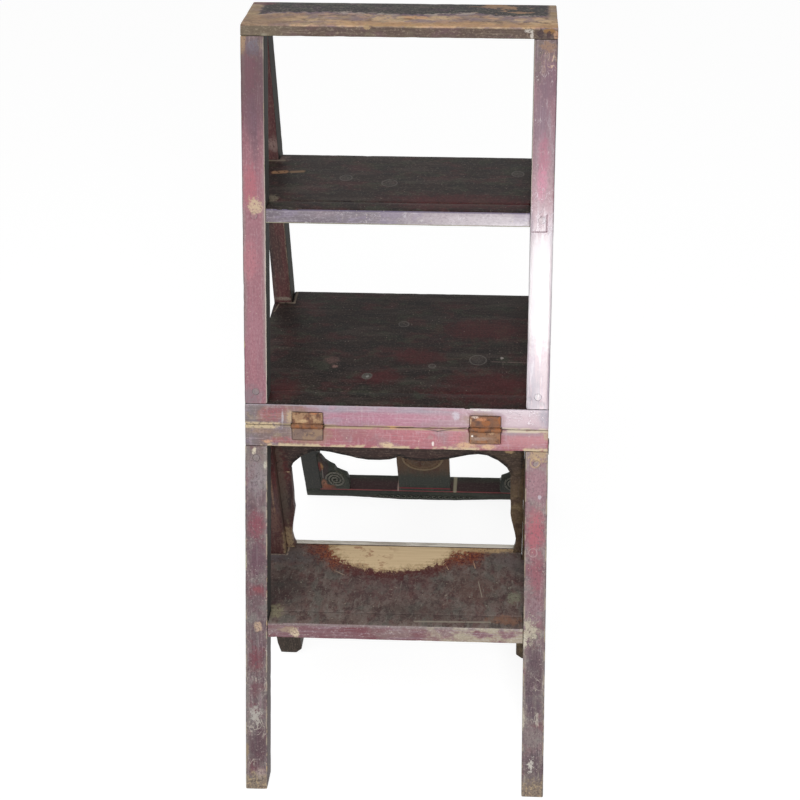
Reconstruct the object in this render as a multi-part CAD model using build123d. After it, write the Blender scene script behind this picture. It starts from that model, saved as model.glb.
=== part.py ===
from build123d import *
import math
import os

# A folding step-chair of lacquered wood, opened out as steps.
# The lower half stays on the floor: it is the front of the chair. The upper half, with the
# seat, the rear legs and the back, is hinged on it and turns over it to make the chair.
# +X is the climber's right, +Y points away from the climber, +Z is up.
# Outlines are drawn with Y measured from the climbing feet. Each finished piece is then
# moved so that the origin is on the floor, in the middle of the opened steps.

# Driving sizes, in millimetres
overall_width = 400.0
hinge_height = 450.0
hinge_run = 240.0
lower_step_height = 212.0
upper_step_height = 699.0

# Clearances
fold_gap = 0.3
joint_gap = 0.1
notch_gap = 0.3
overrun = 30.0

# Slanted uprights of the climbing face
stile_width = 30.0
stile_depth = 30.0
stile_splay = 5.0

# Rails that meet at the joint line
hinge_rail_height = 25.0
hinge_rail_margin = 3.0

# The chair's front legs, with a hoof foot
leg_width = 30.0
leg_depth = 30.0
leg_y = 247.0
hoof_height = 70.0
hoof_flare = 5.0
hoof_outer_flare = 2.0
hoof_outer_bevel = 2.0
hoof_sole_width = 24.0

# The posts that are the chair's rear legs and the uprights of its back
post_width = 29.0
post_top_width = 24.0
post_depth = 34.0
post_y = 506.0
post_kick = 24.0
back_rake = 104.0
post_spread = 12.0
post_bend_radius = 120.0
post_scribe = 3.5

# Steps
tread_thickness = 12.0
lower_rail_height = 19.0
upper_rail_height = 17.0
step_rail_depth = 22.0
seat_board_inset = 2.0
upper_board_inset = 18.0
top_thickness = 13.0
top_overhang = 3.0
top_rear_inset = 1.0

# Rails under the steps
side_rail_width = 18.0
side_rail_inset = 6.0
side_rail_height = 28.0
rear_rail_depth = 18.0
rear_rail_height = 24.0
rear_rail_inset = 5.0
rear_lip = 9.0

# Seat
seat_rail_width = 24.0
seat_panel_thickness = 9.0

# Apron under the seat's front edge, and the strips down the legs
apron_setback = 12.0
apron_thickness = 12.0
apron_height = 70.0
strip_top_width = 19.0
strip_thickness = 12.0

# Chair back
crest_height = 27.5
crest_depth = 34.0
crest_hump = 6.0
splat_width = 91.0
splat_thickness = 11.0
bracket_width = 51.0
bracket_height = 92.0
bracket_thickness = 12.0

# Mortise and tenon joints
tenon_length = 10.0
step_tenon_length = 20.0
step_tenon_setback = 10.0
side_tenon_drop = 10.0
tenon_thickness = 8.0
tenon_root = 4.0
post_tenon_size = 12.0
post_tenon_length = 14.0
splat_tenon_length = 8.0
splat_tenon_thickness = 6.0
splat_tenon_share = 0.7

# Wooden pegs in the faces of the uprights
peg_radius = 4.5
peg_length = 15.0
peg_joint_offset = 14.0

# Forged nails in the steps
nail_radius = 1.2
nail_head_radius = 3.0
nail_head_height = 1.2
nail_length = 20.0
nail_edge = 35.0

# Butt hinges
hinge_x = 117.0
leaf_width = 40.0
leaf_length = 18.0
leaf_thickness = 1.6
leaf_proud = 0.2
knuckle_radius = 3.2
knuckle_gap = 0.4
pin_radius = 1.5
pin_gap = 0.05
pin_head_radius = 2.4
pin_head_length = 1.2
axis_proud = 0.8
hinge_nail_radius = 1.0
hinge_nail_head_radius = 2.2
hinge_nail_head_height = 0.7
hinge_nail_length = 15.0
hinge_nail_spread = 13.0
hinge_nail_row = 11.5

# Outline of the apron's lower edge, from the middle to a leg: each pair is the share of the
# half span, and the share of the apron's height that is solid there
apron_shares = [
    (0.00, 0.55), (0.03, 0.595), (0.08, 0.64), (0.16, 0.66), (0.25, 0.66), (0.34, 0.625),
    (0.44, 0.56), (0.55, 0.485), (0.63, 0.46), (0.70, 0.485), (0.79, 0.61), (0.86, 0.78),
    (0.90, 1.00),
]

# Inner edge of a strip, from its top to the step: the share of its length going down, and
# the share of its top width
strip_shares = [
    (0.00, 1.00), (0.30, 0.96), (0.42, 0.91), (0.50, 0.94), (0.60, 0.79), (0.72, 0.60),
    (0.84, 0.47), (0.93, 0.55), (1.00, 0.68),
]

# Outline of a corner bracket, from the post's side at its tip to the crest: the share of its
# width reached from the post, and the share of its height above the crest
bracket_shares = [
    (0.00, 1.00), (0.15, 0.95), (0.26, 0.80), (0.39, 0.72), (0.55, 0.64), (0.62, 0.53),
    (0.94, 0.41), (1.00, 0.27), (1.00, 0.10), (0.96, 0.00),
]

# Inner edge of a hoof foot: the share of its height above the floor, and the share of its
# flare
hoof_shares = [
    (1.00, 0.00), (0.80, 0.12), (0.64, 0.45), (0.50, 0.92), (0.36, 1.00), (0.12, 1.00),
]

# Outer edge of a hoof foot, in the same two shares
hoof_outer_shares = [(0.36, 1.00), (0.50, 0.92), (0.64, 0.45), (0.80, 0.12), (1.00, 0.00)]

# Values worked out from the sizes above
half_width = overall_width / 2
lean = hinge_run / hinge_height
lean_angle = math.atan(lean)
fold_height = hinge_height + fold_gap / 2
top_height = 2 * hinge_height + fold_gap
seat_low = hinge_height + fold_gap
seat_tread = seat_low + hinge_rail_height
seat_board_low = seat_tread - tread_thickness
rail_bottom = hinge_height - hinge_rail_height
lower_rail_back = leg_y + leg_depth + hinge_rail_margin
stile_inner = half_width - stile_width
leg_inner = half_width - leg_width
top_underside = top_height - top_thickness
rake_angle = math.atan(back_rake / hinge_height)
back_foot_y = post_y + back_rake
overall_depth = back_foot_y + crest_depth * math.cos(rake_angle)
apron_y = leg_y + apron_setback
upper_hinge_rail_back = lean * seat_tread + stile_depth + notch_gap

# The frame of the chair's back: its X runs across, its Y up the slope of the back's front
# face, and its Z out of that face, towards the climber
back_plane = Plane(
    origin=(0, back_foot_y, 0),
    x_dir=(1, 0, 0),
    z_dir=(0, -math.cos(rake_angle), -math.sin(rake_angle)),
)

centre = {}
right = {}
groups = {}


def near(z):
    """The climbing face's distance from its feet, at a height."""
    return lean * z


def stile_shift(z):
    """How far the lower uprights have splayed outwards at a height."""
    return max(0, stile_splay * (1 - z / hinge_height))


def post_face(z):
    """The near face of a rear post, before its bend is rounded."""
    if z > hinge_height:
        return post_y + post_kick * (z - hinge_height) / hinge_height
    return post_y + back_rake * (hinge_height - z) / hinge_height


def post_outer(z):
    """The outer face of the right rear post."""
    return half_width + post_spread * (1 - z / top_height)


def post_inner(z):
    """The inner face of the right rear post, which tapers upwards."""
    return post_outer(z) - post_width + (post_width - post_top_width) * z / top_height


def side_prism(points, x_low, x_high):
    """An outline of (y, z) points, carried across from x_low to x_high."""
    face = make_face(Polyline(*points, close=True))
    return Pos(x_low, 0, 0) * extrude(Plane.YZ * face, amount=x_high - x_low)


def front_prism(points, y_low, y_high):
    """An outline of (x, z) points, carried back from y_low to y_high."""
    face = make_face(Polyline(*points, close=True))
    return Pos(0, y_low, 0) * extrude(Plane.XZ * face, amount=y_low - y_high)


def plan_prism(points, z_low, z_high):
    """An outline of (x, y) points, carried up from z_low to z_high."""
    face = make_face(Polyline(*points, close=True))
    return Pos(0, 0, z_low) * extrude(face, amount=z_high - z_low)


def corner_box(low, high):
    """A box between two corners."""
    size = [b - a for a, b in zip(low, high)]
    middle = [(a + b) / 2 for a, b in zip(low, high)]
    return Pos(*middle) * Box(*size)


def mirrored(solid):
    """The same solid on the other side of the middle plane."""
    return mirror(solid, about=Plane.YZ)


def cut(name, tool):
    """Cut a piece, on both sides if it lies on the middle plane."""
    if name in right:
        right[name] = right[name] - tool
    else:
        centre[name] = centre[name] - tool - mirrored(tool)


def fuse(name, tool):
    """Add to a piece, on both sides if it lies on the middle plane."""
    if name in right:
        right[name] = right[name] + tool
    else:
        centre[name] = centre[name] + tool + mirrored(tool)


def join(owner, host, low, high):
    """Give one piece a tenon between two corners, and the other its mortise."""
    fuse(owner, corner_box(low, high))
    cut(host, corner_box([v - joint_gap for v in low], [v + joint_gap for v in high]))


def stile_prism(z_low, z_high, grow=0.0):
    """The right-hand slanted upright between two heights."""
    side = side_prism(
        [
            (near(z_low) - grow, z_low),
            (near(z_low) + stile_depth + grow, z_low),
            (near(z_high) + stile_depth + grow, z_high),
            (near(z_high) - grow, z_high),
        ],
        0,
        half_width + stile_splay + overrun,
    )
    across = front_prism(
        [
            (stile_inner + stile_shift(z_low) - grow, z_low),
            (half_width + stile_shift(z_low) + grow, z_low),
            (half_width + stile_shift(z_high) + grow, z_high),
            (stile_inner + stile_shift(z_high) - grow, z_high),
        ],
        near(z_low) - overrun,
        near(z_high) + stile_depth + overrun,
    )
    return side & across


def leg_block(grow=0.0):
    """The right-hand front leg without its foot."""
    return corner_box(
        (leg_inner - grow, leg_y - grow, 0),
        (half_width + grow, leg_y + leg_depth + grow, rail_bottom),
    )


def post_prism(grow=0.0):
    """The right-hand rear post: upright behind the steps, raked in the chair's back."""
    heights = [0, hinge_height, top_underside]
    front = [(post_face(z) - grow, z) for z in heights]
    back = [(post_face(z) + post_depth + grow, z) for z in reversed(heights)]
    face = make_face(Polyline(*front, *back, close=True))
    bends = [v for v in face.vertices() if abs(v.Y - hinge_height) < joint_gap]
    face = fillet(bends, post_bend_radius)
    side = extrude(Plane.YZ * face, amount=half_width + post_spread + overrun)
    across = front_prism(
        [
            (post_inner(0) - grow, 0),
            (post_outer(0) + grow, 0),
            (post_outer(top_underside) + grow, top_underside),
            (post_inner(top_underside) - grow, top_underside),
        ],
        post_y - overrun,
        back_foot_y + post_depth + overrun,
    )
    return side & across


def back_prism(points, thickness):
    """An outline on the front face of the chair's back, carried into its thickness."""
    face = make_face(Polyline(*points, close=True))
    return back_plane * extrude(face, amount=-thickness)


def make_lower_stile():
    """A slanted upright of the lower half, scribed against the front leg."""
    stile = stile_prism(0, rail_bottom)
    right["lower_stile"] = stile - leg_block()


def make_front_leg():
    """A front leg whose foot swells inwards like a hoof."""
    inner = [
        (leg_inner - share * hoof_flare, height_share * hoof_height)
        for height_share, share in hoof_shares
    ]
    outer = [
        (half_width + share * hoof_outer_flare, height_share * hoof_height)
        for height_share, share in hoof_outer_shares
    ]
    sole_outer = half_width - hoof_outer_bevel
    outline = [
        (half_width, rail_bottom),
        (leg_inner, rail_bottom),
        *inner,
        (sole_outer - hoof_sole_width, 0),
        (sole_outer, 0),
        *outer,
    ]
    right["front_leg"] = front_prism(outline, leg_y, leg_y + leg_depth)


def make_hinge_rails():
    """The two full-width rails that meet at the joint line."""
    lower = [
        (near(rail_bottom), rail_bottom),
        (lower_rail_back, rail_bottom),
        (lower_rail_back, hinge_height),
        (near(hinge_height), hinge_height),
    ]
    centre["lower_hinge_rail"] = side_prism(lower, -half_width, half_width)
    upper = [
        (near(seat_low), seat_low),
        (upper_hinge_rail_back, seat_low),
        (upper_hinge_rail_back, seat_tread),
        (near(seat_tread), seat_tread),
    ]
    centre["upper_hinge_rail"] = side_prism(upper, -half_width, half_width)


def make_apron():
    """The apron between the front legs, with a cusped arch for its lower edge."""
    half_span = leg_inner
    edge = [
        (share * half_span, rail_bottom - solid_share * apron_height)
        for share, solid_share in apron_shares
    ]
    end = [(half_span, rail_bottom - apron_height), (half_span, rail_bottom)]
    other = [(-x, z) for x, z in reversed(edge[1:] + end)]
    centre["front_apron"] = front_prism(other + edge + end, apron_y, apron_y + apron_thickness)


def make_apron_strip():
    """A shaped strip down the inner side of a front leg."""
    top = rail_bottom - apron_height
    length = top - lower_step_height
    edge = [
        (leg_inner - width_share * strip_top_width, top - share * length)
        for share, width_share in strip_shares
    ]
    outline = [(leg_inner, top), *edge, (leg_inner, lower_step_height)]
    right["apron_strip"] = front_prism(outline, apron_y, apron_y + strip_thickness)


def step_rail(height, rail_height):
    """A step's front rail, between the uprights, with its face in the climbing face."""
    low = height - rail_height
    back = near(height) + step_rail_depth
    points = [(near(low), low), (back, low), (back, height), (near(height), height)]
    reach = stile_inner + stile_shift(low)
    return side_prism(points, -reach, reach)


def make_lower_step():
    """The lower step: front rail, board, two side rails and a rear rail with a flush lip."""
    low = lower_step_height - tread_thickness
    rear = leg_y + leg_depth
    centre["lower_step_rail"] = step_rail(lower_step_height, lower_rail_height)
    cut("lower_step_rail", stile_prism(0, rail_bottom))
    board = corner_box(
        (-half_width, near(lower_step_height) + step_rail_depth, low),
        (half_width, rear - rear_lip - joint_gap, lower_step_height),
    )
    centre["lower_step_board"] = board
    cut("lower_step_board", stile_prism(0, rail_bottom, notch_gap))
    cut("lower_step_board", leg_block(notch_gap))
    rail_low = low - side_rail_height
    outline = [
        (near(rail_low) + stile_depth, rail_low),
        (leg_y, rail_low),
        (leg_y, low),
        (near(low) + stile_depth, low),
    ]
    outer = half_width - side_rail_inset
    right["lower_side_rail"] = side_prism(outline, outer - side_rail_width, outer)
    rear_outline = [
        (rear, low - rear_rail_height),
        (rear, lower_step_height),
        (rear - rear_lip, lower_step_height),
        (rear - rear_lip, low),
        (rear - rear_rail_depth, low),
        (rear - rear_rail_depth, low - rear_rail_height),
    ]
    centre["lower_rear_rail"] = side_prism(rear_outline, -leg_inner, leg_inner)


def make_upper_stile():
    """A slanted upright of the upper half, from the hinge rail to the top board."""
    right["upper_stile"] = stile_prism(seat_tread, top_underside)


def make_rear_post():
    """A rear post, cut square to the back where it stands on the crest."""
    below = back_plane * corner_box(
        (0, -overrun, -crest_depth - overrun),
        (half_width + post_spread + overrun, crest_height, overrun),
    )
    right["rear_post"] = post_prism() - below


def make_seat():
    """The seat: its frame, the board stepped on and the panel sat on."""
    rear = post_y + post_depth
    board_rear = rear - seat_board_inset
    front_y = upper_hinge_rail_back
    board = plan_prism(
        [
            (-half_width, front_y),
            (half_width, front_y),
            (post_outer(seat_tread), board_rear),
            (-post_outer(seat_tread), board_rear),
        ],
        seat_board_low,
        seat_tread,
    )
    centre["seat_board"] = board
    cut("seat_board", post_prism(notch_gap))
    rail = plan_prism(
        [
            (half_width - seat_rail_width, front_y),
            (half_width, front_y),
            (post_outer(seat_low), rear),
            (post_outer(seat_low) - seat_rail_width, rear),
        ],
        seat_low,
        seat_board_low,
    )
    rail = rail & corner_box(
        (0, front_y, seat_low), (overall_width, post_y + post_scribe, seat_board_low)
    )
    right["seat_side_rail"] = rail - post_prism()
    rear_span = post_inner(seat_low)
    rear_rail = corner_box((-rear_span, post_y, seat_low), (rear_span, rear, seat_board_low))
    centre["seat_rear_rail"] = rear_rail - post_prism() - mirrored(post_prism())
    panel_side = half_width - seat_rail_width - notch_gap
    centre["seat_panel"] = corner_box(
        (-panel_side, front_y + notch_gap, seat_low),
        (panel_side, post_y - notch_gap, seat_low + seat_panel_thickness),
    )


def make_upper_step():
    """The upper step: front rail, board, two side rails and a rear rail."""
    low = upper_step_height - tread_thickness
    rear = post_face(upper_step_height) + post_depth - upper_board_inset
    centre["upper_step_rail"] = step_rail(upper_step_height, upper_rail_height)
    board = plan_prism(
        [
            (-half_width, near(upper_step_height) + step_rail_depth),
            (half_width, near(upper_step_height) + step_rail_depth),
            (post_outer(upper_step_height), rear),
            (-post_outer(upper_step_height), rear),
        ],
        low,
        upper_step_height,
    )
    centre["upper_step_board"] = board
    cut("upper_step_board", stile_prism(seat_tread, top_underside, notch_gap))
    cut("upper_step_board", post_prism(notch_gap))
    rail_low = low - side_rail_height
    outline = [
        (near(rail_low) + stile_depth, rail_low),
        (post_face(rail_low), rail_low),
        (post_face(low), low),
        (near(low) + stile_depth, low),
    ]
    outer = half_width - side_rail_inset
    right["upper_side_rail"] = side_prism(outline, outer - side_rail_width, outer)
    span = post_inner(low)
    face = post_face(low) + rear_rail_inset
    rail = corner_box(
        (-span, face, low - rear_rail_height),
        (span, face + rear_rail_depth, low),
    )
    centre["upper_rear_rail"] = rail - post_prism() - mirrored(post_prism())


def make_top_board():
    """The topmost step, which lies across all four uprights."""
    rear = post_face(top_height) + post_depth + top_overhang
    side = side_prism(
        [
            (near(top_underside), top_underside),
            (rear, top_underside),
            (rear, top_height),
            (near(top_height), top_height),
        ],
        -half_width - overrun,
        half_width + overrun,
    )
    plan = plan_prism(
        [
            (-half_width, near(top_underside)),
            (half_width, near(top_underside)),
            (half_width - top_rear_inset, rear),
            (-half_width + top_rear_inset, rear),
        ],
        top_underside,
        top_height,
    )
    centre["top_board"] = side & plan


def make_crest():
    """The crest rail of the back, humped in the middle, which stands on the floor."""
    half = post_outer(0)
    flat = splat_width / 2
    shoulder = half - post_width - bracket_width
    bottom = [
        (-half, crest_hump),
        (-shoulder, crest_hump),
        (-flat, 0),
        (flat, 0),
        (shoulder, crest_hump),
        (half, crest_hump),
    ]
    outline = [*bottom, (half, crest_height), (-half, crest_height)]
    centre["crest_rail"] = back_prism(outline, crest_depth)


def make_splat():
    """The flat panel in the middle of the back, from the crest up to the seat."""
    top = hinge_height / math.cos(rake_angle)
    half = splat_width / 2
    outline = [(-half, crest_height), (half, crest_height), (half, top), (-half, top)]
    splat = back_prism(outline, splat_thickness)
    below_seat = corner_box(
        (-half - overrun, post_y - overrun, 0),
        (half + overrun, back_foot_y + crest_depth, seat_low),
    )
    centre["back_splat"] = splat & below_seat


def make_scroll_bracket():
    """A carved bracket in the corner between a post and the crest."""
    side = post_outer(0) - post_width
    outline = [
        (side - share * bracket_width, crest_height + height_share * bracket_height)
        for share, height_share in bracket_shares
    ]
    outline = [(side + post_spread, crest_height), (side, outline[0][1]), *outline[1:]]
    bracket = back_prism(outline, bracket_thickness)
    right["scroll_bracket"] = bracket - post_prism()


def add_rail_tenons():
    """Tenons of the step rails and the side rails in the uprights."""
    host = {"lower_step_rail": "lower_stile", "upper_step_rail": "upper_stile"}
    height = {"lower_step_rail": lower_step_height, "upper_step_rail": upper_step_height}
    rail_height = {"lower_step_rail": lower_rail_height, "upper_step_rail": upper_rail_height}
    for rail, stile in host.items():
        z_high = height[rail] - tenon_root
        z_low = height[rail] - rail_height[rail] + tenon_root
        middle = near((z_low + z_high) / 2) + step_tenon_setback
        face = stile_inner + stile_shift(z_low)
        low = (face - tenon_root, middle - tenon_thickness / 2, z_low)
        high = (face + step_tenon_length, middle + tenon_thickness / 2, z_high)
        join(rail, stile, low, high)
    x_middle = half_width - side_rail_inset - side_rail_width / 2
    x_low = x_middle - tenon_thickness / 2
    x_high = x_middle + tenon_thickness / 2
    lower_top = lower_step_height - tread_thickness
    upper_top = upper_step_height - tread_thickness
    upper_face = post_face(upper_top - side_rail_height)
    rails = [
        ("lower_side_rail", "lower_stile", "front_leg", lower_top, leg_y),
        ("upper_side_rail", "upper_stile", "rear_post", upper_top, upper_face),
    ]
    for rail, front, rear, rail_top, rear_face in rails:
        z_high = rail_top - side_tenon_drop
        z_low = rail_top - side_rail_height + tenon_root
        front_face = near(z_low) + stile_depth
        join(
            rail,
            front,
            (x_low, front_face - tenon_length, z_low),
            (x_high, front_face + tenon_length, z_high),
        )
        join(
            rail,
            rear,
            (x_low, rear_face - tenon_length, z_low),
            (x_high, rear_face + tenon_length, z_high),
        )


def add_upright_tenons():
    """Tenons on the ends of the legs, the posts and the slanted uprights."""
    size = post_tenon_size / 2
    x_middle = half_width - stile_width / 2
    lower_y = near(rail_bottom + post_tenon_length) + tenon_root + tenon_thickness / 2
    ends = [
        ("lower_stile", "lower_hinge_rail", lower_y, rail_bottom, 1),
        ("front_leg", "lower_hinge_rail", leg_y + leg_depth / 2, rail_bottom, 1),
        ("upper_stile", "upper_hinge_rail", near(seat_tread) + stile_depth / 2, seat_tread, -1),
    ]
    for upright, rail, y_middle, z_end, way in ends:
        z_low = min(z_end - way * tenon_root, z_end + way * post_tenon_length)
        z_high = max(z_end - way * tenon_root, z_end + way * post_tenon_length)
        low = (x_middle - size, y_middle - tenon_thickness / 2, z_low)
        high = (x_middle + size, y_middle + tenon_thickness / 2, z_high)
        join(upright, rail, low, high)
    post_x = post_outer(0) - post_width / 2
    depth_middle = -post_depth / 2
    tenon_low = (post_x - size, crest_height - post_tenon_length, depth_middle - size)
    tenon_high = (post_x + size, crest_height + tenon_root, depth_middle + size)
    fuse("rear_post", back_plane * corner_box(tenon_low, tenon_high))
    slot_low = [v - joint_gap for v in tenon_low]
    slot_high = [v + joint_gap for v in tenon_high]
    cut("crest_rail", back_plane * corner_box(slot_low, slot_high))


def add_splat_tenons():
    """Tenons of the back's splat in the crest and in the seat's rear rail."""
    half = splat_tenon_share * splat_width / 2
    middle = -splat_thickness / 2
    low = (0, crest_height - splat_tenon_length, middle - splat_tenon_thickness / 2)
    high = (half, crest_height + tenon_root, middle + splat_tenon_thickness / 2)
    fuse("back_splat", back_plane * corner_box(low, high))
    slot_low = (-joint_gap, low[1] - joint_gap, low[2] - joint_gap)
    slot_high = [v + joint_gap for v in high]
    cut("crest_rail", back_plane * corner_box(slot_low, slot_high))
    y_low = post_y + joint_gap
    y_high = post_y + splat_thickness - joint_gap
    join(
        "back_splat",
        "seat_rear_rail",
        (0, y_low, seat_low - tenon_root),
        (half, y_high, seat_low + splat_tenon_length),
    )


def add_rear_rail_tenons():
    """Tenons of the rear rails in the legs and the posts."""
    lower_y = leg_y + leg_depth - rear_rail_depth / 2
    lower_top = lower_step_height - tread_thickness
    upper_top = upper_step_height - tread_thickness
    upper_y = post_face(upper_top) + rear_rail_inset + rear_rail_depth / 2
    seat_y = post_y + post_depth / 2
    rails = [
        ("lower_rear_rail", "front_leg", leg_inner, lower_y, lower_top, rear_rail_height),
        (
            "upper_rear_rail",
            "rear_post",
            post_inner(upper_top),
            upper_y,
            upper_top,
            rear_rail_height,
        ),
        (
            "seat_rear_rail",
            "rear_post",
            post_inner(seat_low),
            seat_y,
            seat_board_low,
            seat_board_low - seat_low,
        ),
    ]
    for rail, host, x_face, y_middle, z_top, height in rails:
        low = (x_face - tenon_length, y_middle - tenon_thickness / 2, z_top - height + tenon_root)
        high = (x_face + tenon_length, y_middle + tenon_thickness / 2, z_top - tenon_root)
        join(rail, host, low, high)


def face_plane(x, z):
    """A frame on the climbing face: its Z points out of the face."""
    return Plane(
        origin=(x, near(z), z),
        x_dir=(1, 0, 0),
        z_dir=(0, -math.cos(lean_angle), math.sin(lean_angle)),
    )


def add_pegs():
    """Round pegs in the faces of the slanted uprights, at their joints."""
    places = {
        "lower_stile_pegs": [
            ("lower_stile", "lower_step_rail", lower_step_height - lower_rail_height / 2),
            ("lower_stile", None, rail_bottom - peg_joint_offset),
        ],
        "upper_stile_pegs": [
            ("upper_stile", "upper_step_rail", upper_step_height - upper_rail_height / 2),
            ("upper_stile", None, seat_tread + peg_joint_offset),
        ],
    }
    for group, pegs in places.items():
        groups[group] = []
        for stile, rail, z in pegs:
            plane = face_plane(half_width - stile_width / 2 + stile_shift(z), z)
            sunk = Pos(0, 0, -peg_length / 2)
            peg = plane * (sunk * Cylinder(peg_radius, peg_length))
            hole = plane * (sunk * Cylinder(peg_radius + joint_gap, peg_length))
            cut(stile, hole)
            if rail is not None:
                cut(rail, hole)
            groups[group] += [peg, mirrored(peg)]


def nail(x, y, z, grow=0.0):
    """An upright nail whose head lies flush with the face at height z."""
    head = Pos(0, 0, -nail_head_height / 2) * Cylinder(nail_head_radius + grow, nail_head_height)
    shank = Pos(0, 0, -nail_length / 2) * Cylinder(nail_radius + grow, nail_length)
    return Pos(x, y, z) * (head + shank)


def add_step_nails():
    """Nails that hold the boards to the rails and uprights below them."""
    rail_x = half_width - side_rail_inset - side_rail_width / 2
    stile_x = half_width - stile_width / 2
    seat_x = half_width - seat_rail_width / 2
    post_x = (post_outer(top_underside) + post_inner(top_underside)) / 2
    lower_front = near(lower_step_height) + stile_depth + nail_edge
    upper_front = near(upper_step_height) + stile_depth + nail_edge
    lower_rear = leg_y - nail_edge / 2
    upper_rear = post_face(upper_step_height) - nail_edge
    seat_front = upper_hinge_rail_back + nail_edge
    top_front = near(top_underside - nail_length / 2) + stile_depth / 2
    top_rear = post_face(top_underside) + post_depth / 2
    places = {
        "lower_step_nails": [
            ("lower_step_board", "lower_side_rail", rail_x, lower_front, lower_step_height),
            ("lower_step_board", "lower_side_rail", rail_x, lower_rear, lower_step_height),
        ],
        "seat_board_nails": [
            ("seat_board", "seat_side_rail", seat_x, seat_front, seat_tread),
            ("seat_board", "seat_side_rail", seat_x, post_y - nail_edge, seat_tread),
        ],
        "upper_step_nails": [
            ("upper_step_board", "upper_side_rail", rail_x, upper_front, upper_step_height),
            ("upper_step_board", "upper_side_rail", rail_x, upper_rear, upper_step_height),
        ],
        "top_board_nails": [
            ("top_board", "upper_stile", stile_x, top_front, top_height),
            ("top_board", "rear_post", post_x, top_rear, top_height),
        ],
    }
    for group, nails in places.items():
        groups[group] = []
        for board, below, x, y, z in nails:
            solid = nail(x, y, z)
            hole = nail(x, y, z, joint_gap)
            cut(board, hole)
            cut(below, hole)
            groups[group] += [solid, mirrored(solid)]


def hinge_plane():
    """The frame on the fold's axis at the right-hand hinge: its Y runs up the face."""
    return Plane(
        origin=(hinge_x, near(fold_height) - axis_proud, fold_height),
        x_dir=(1, 0, 0),
        z_dir=(0, -math.cos(lean_angle), math.sin(lean_angle)),
    )


def along_x(radius, x_low, x_high):
    """A rod along the fold's axis."""
    rod = Rotation(0, 90, 0) * Cylinder(radius, x_high - x_low)
    return Pos((x_low + x_high) / 2, 0, 0) * rod


def hinge_leaf(way, spans):
    """A leaf below (way -1) or above (way 1) the axis, with knuckles over some spans."""
    face = leaf_proud - axis_proud * math.cos(lean_angle)
    back = face - leaf_thickness
    clear = knuckle_radius + knuckle_gap
    half = leaf_width / 2
    y_low = min(way * clear, way * leaf_length)
    y_high = max(way * clear, way * leaf_length)
    leaf = corner_box((-half, y_low, back), (half, y_high, face))
    tab_low = min(0, way * clear)
    tab_high = max(0, way * clear)
    for x_low, x_high in spans:
        leaf += corner_box((x_low, tab_low, back), (x_high, tab_high, face))
        leaf += along_x(knuckle_radius, x_low, x_high)
    return leaf - along_x(pin_radius + pin_gap, -half - overrun, half + overrun)


def hinge_nail(x, y, grow=0.0):
    """A nail driven square into the face, its head sunk in the leaf."""
    face = leaf_proud - axis_proud * math.cos(lean_angle)
    head_radius = hinge_nail_head_radius + grow
    head = Pos(0, 0, -hinge_nail_head_height / 2) * Cylinder(head_radius, hinge_nail_head_height)
    shank_radius = hinge_nail_radius + grow
    shank = Pos(0, 0, -hinge_nail_length / 2) * Cylinder(shank_radius, hinge_nail_length)
    return Pos(x, y, face) * (head + shank)


def make_hinges():
    """The right-hand hinge: two leaves, a pin and nails, let into both rails."""
    frame = hinge_plane()
    half = leaf_width / 2
    third = leaf_width / 3
    outer_spans = [(-half, -third / 2 - knuckle_gap / 2), (third / 2 + knuckle_gap / 2, half)]
    inner_spans = [(-third / 2 + knuckle_gap / 2, third / 2 - knuckle_gap / 2)]
    lower_leaf = hinge_leaf(-1, outer_spans)
    upper_leaf = hinge_leaf(1, inner_spans)
    face = leaf_proud - axis_proud * math.cos(lean_angle)
    recess = corner_box(
        (-half - notch_gap, -leaf_length - notch_gap, face - leaf_thickness),
        (half + notch_gap, leaf_length + notch_gap, overrun),
    )
    head_room = pin_head_length + notch_gap
    recess += along_x(knuckle_radius + knuckle_gap, -half - head_room, half + head_room)
    cut("lower_hinge_rail", frame * recess)
    cut("upper_hinge_rail", frame * recess)
    pin = along_x(pin_radius, -half, half)
    pin += along_x(pin_head_radius, -half - pin_head_length, -half)
    pin += along_x(pin_head_radius, half, half + pin_head_length)
    right["hinge_pin"] = frame * pin
    row = hinge_nail_row
    spread = hinge_nail_spread
    lower_places = [(-spread, -row), (0, -row - hinge_nail_head_radius), (spread, -row)]
    upper_places = [(-spread, row), (0, row + hinge_nail_head_radius), (spread, row)]
    groups["lower_hinge_nails"] = []
    groups["upper_hinge_nails"] = []
    for x, y in lower_places:
        lower_leaf -= hinge_nail(x, y, joint_gap)
        cut("lower_hinge_rail", frame * hinge_nail(x, y, joint_gap))
        solid = frame * hinge_nail(x, y)
        groups["lower_hinge_nails"] += [solid, mirrored(solid)]
    for x, y in upper_places:
        upper_leaf -= hinge_nail(x, y, joint_gap)
        cut("upper_hinge_rail", frame * hinge_nail(x, y, joint_gap))
        solid = frame * hinge_nail(x, y)
        groups["upper_hinge_nails"] += [solid, mirrored(solid)]
    right["lower_hinge_leaf"] = frame * lower_leaf
    right["upper_hinge_leaf"] = frame * upper_leaf


def write_pieces():
    """Write each piece to its own file, with the origin under the middle of the steps."""
    os.makedirs("parts", exist_ok=True)
    shift = Pos(0, -overall_depth / 2, 0)
    pieces = dict(centre)
    for name, solid in right.items():
        pieces[name + "_right"] = solid
        pieces[name + "_left"] = mirrored(solid)
    for name, solids in groups.items():
        pieces[name] = Compound(children=solids)
    for name, solid in pieces.items():
        export_step(shift * solid, f"parts/{name}.step")


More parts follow.
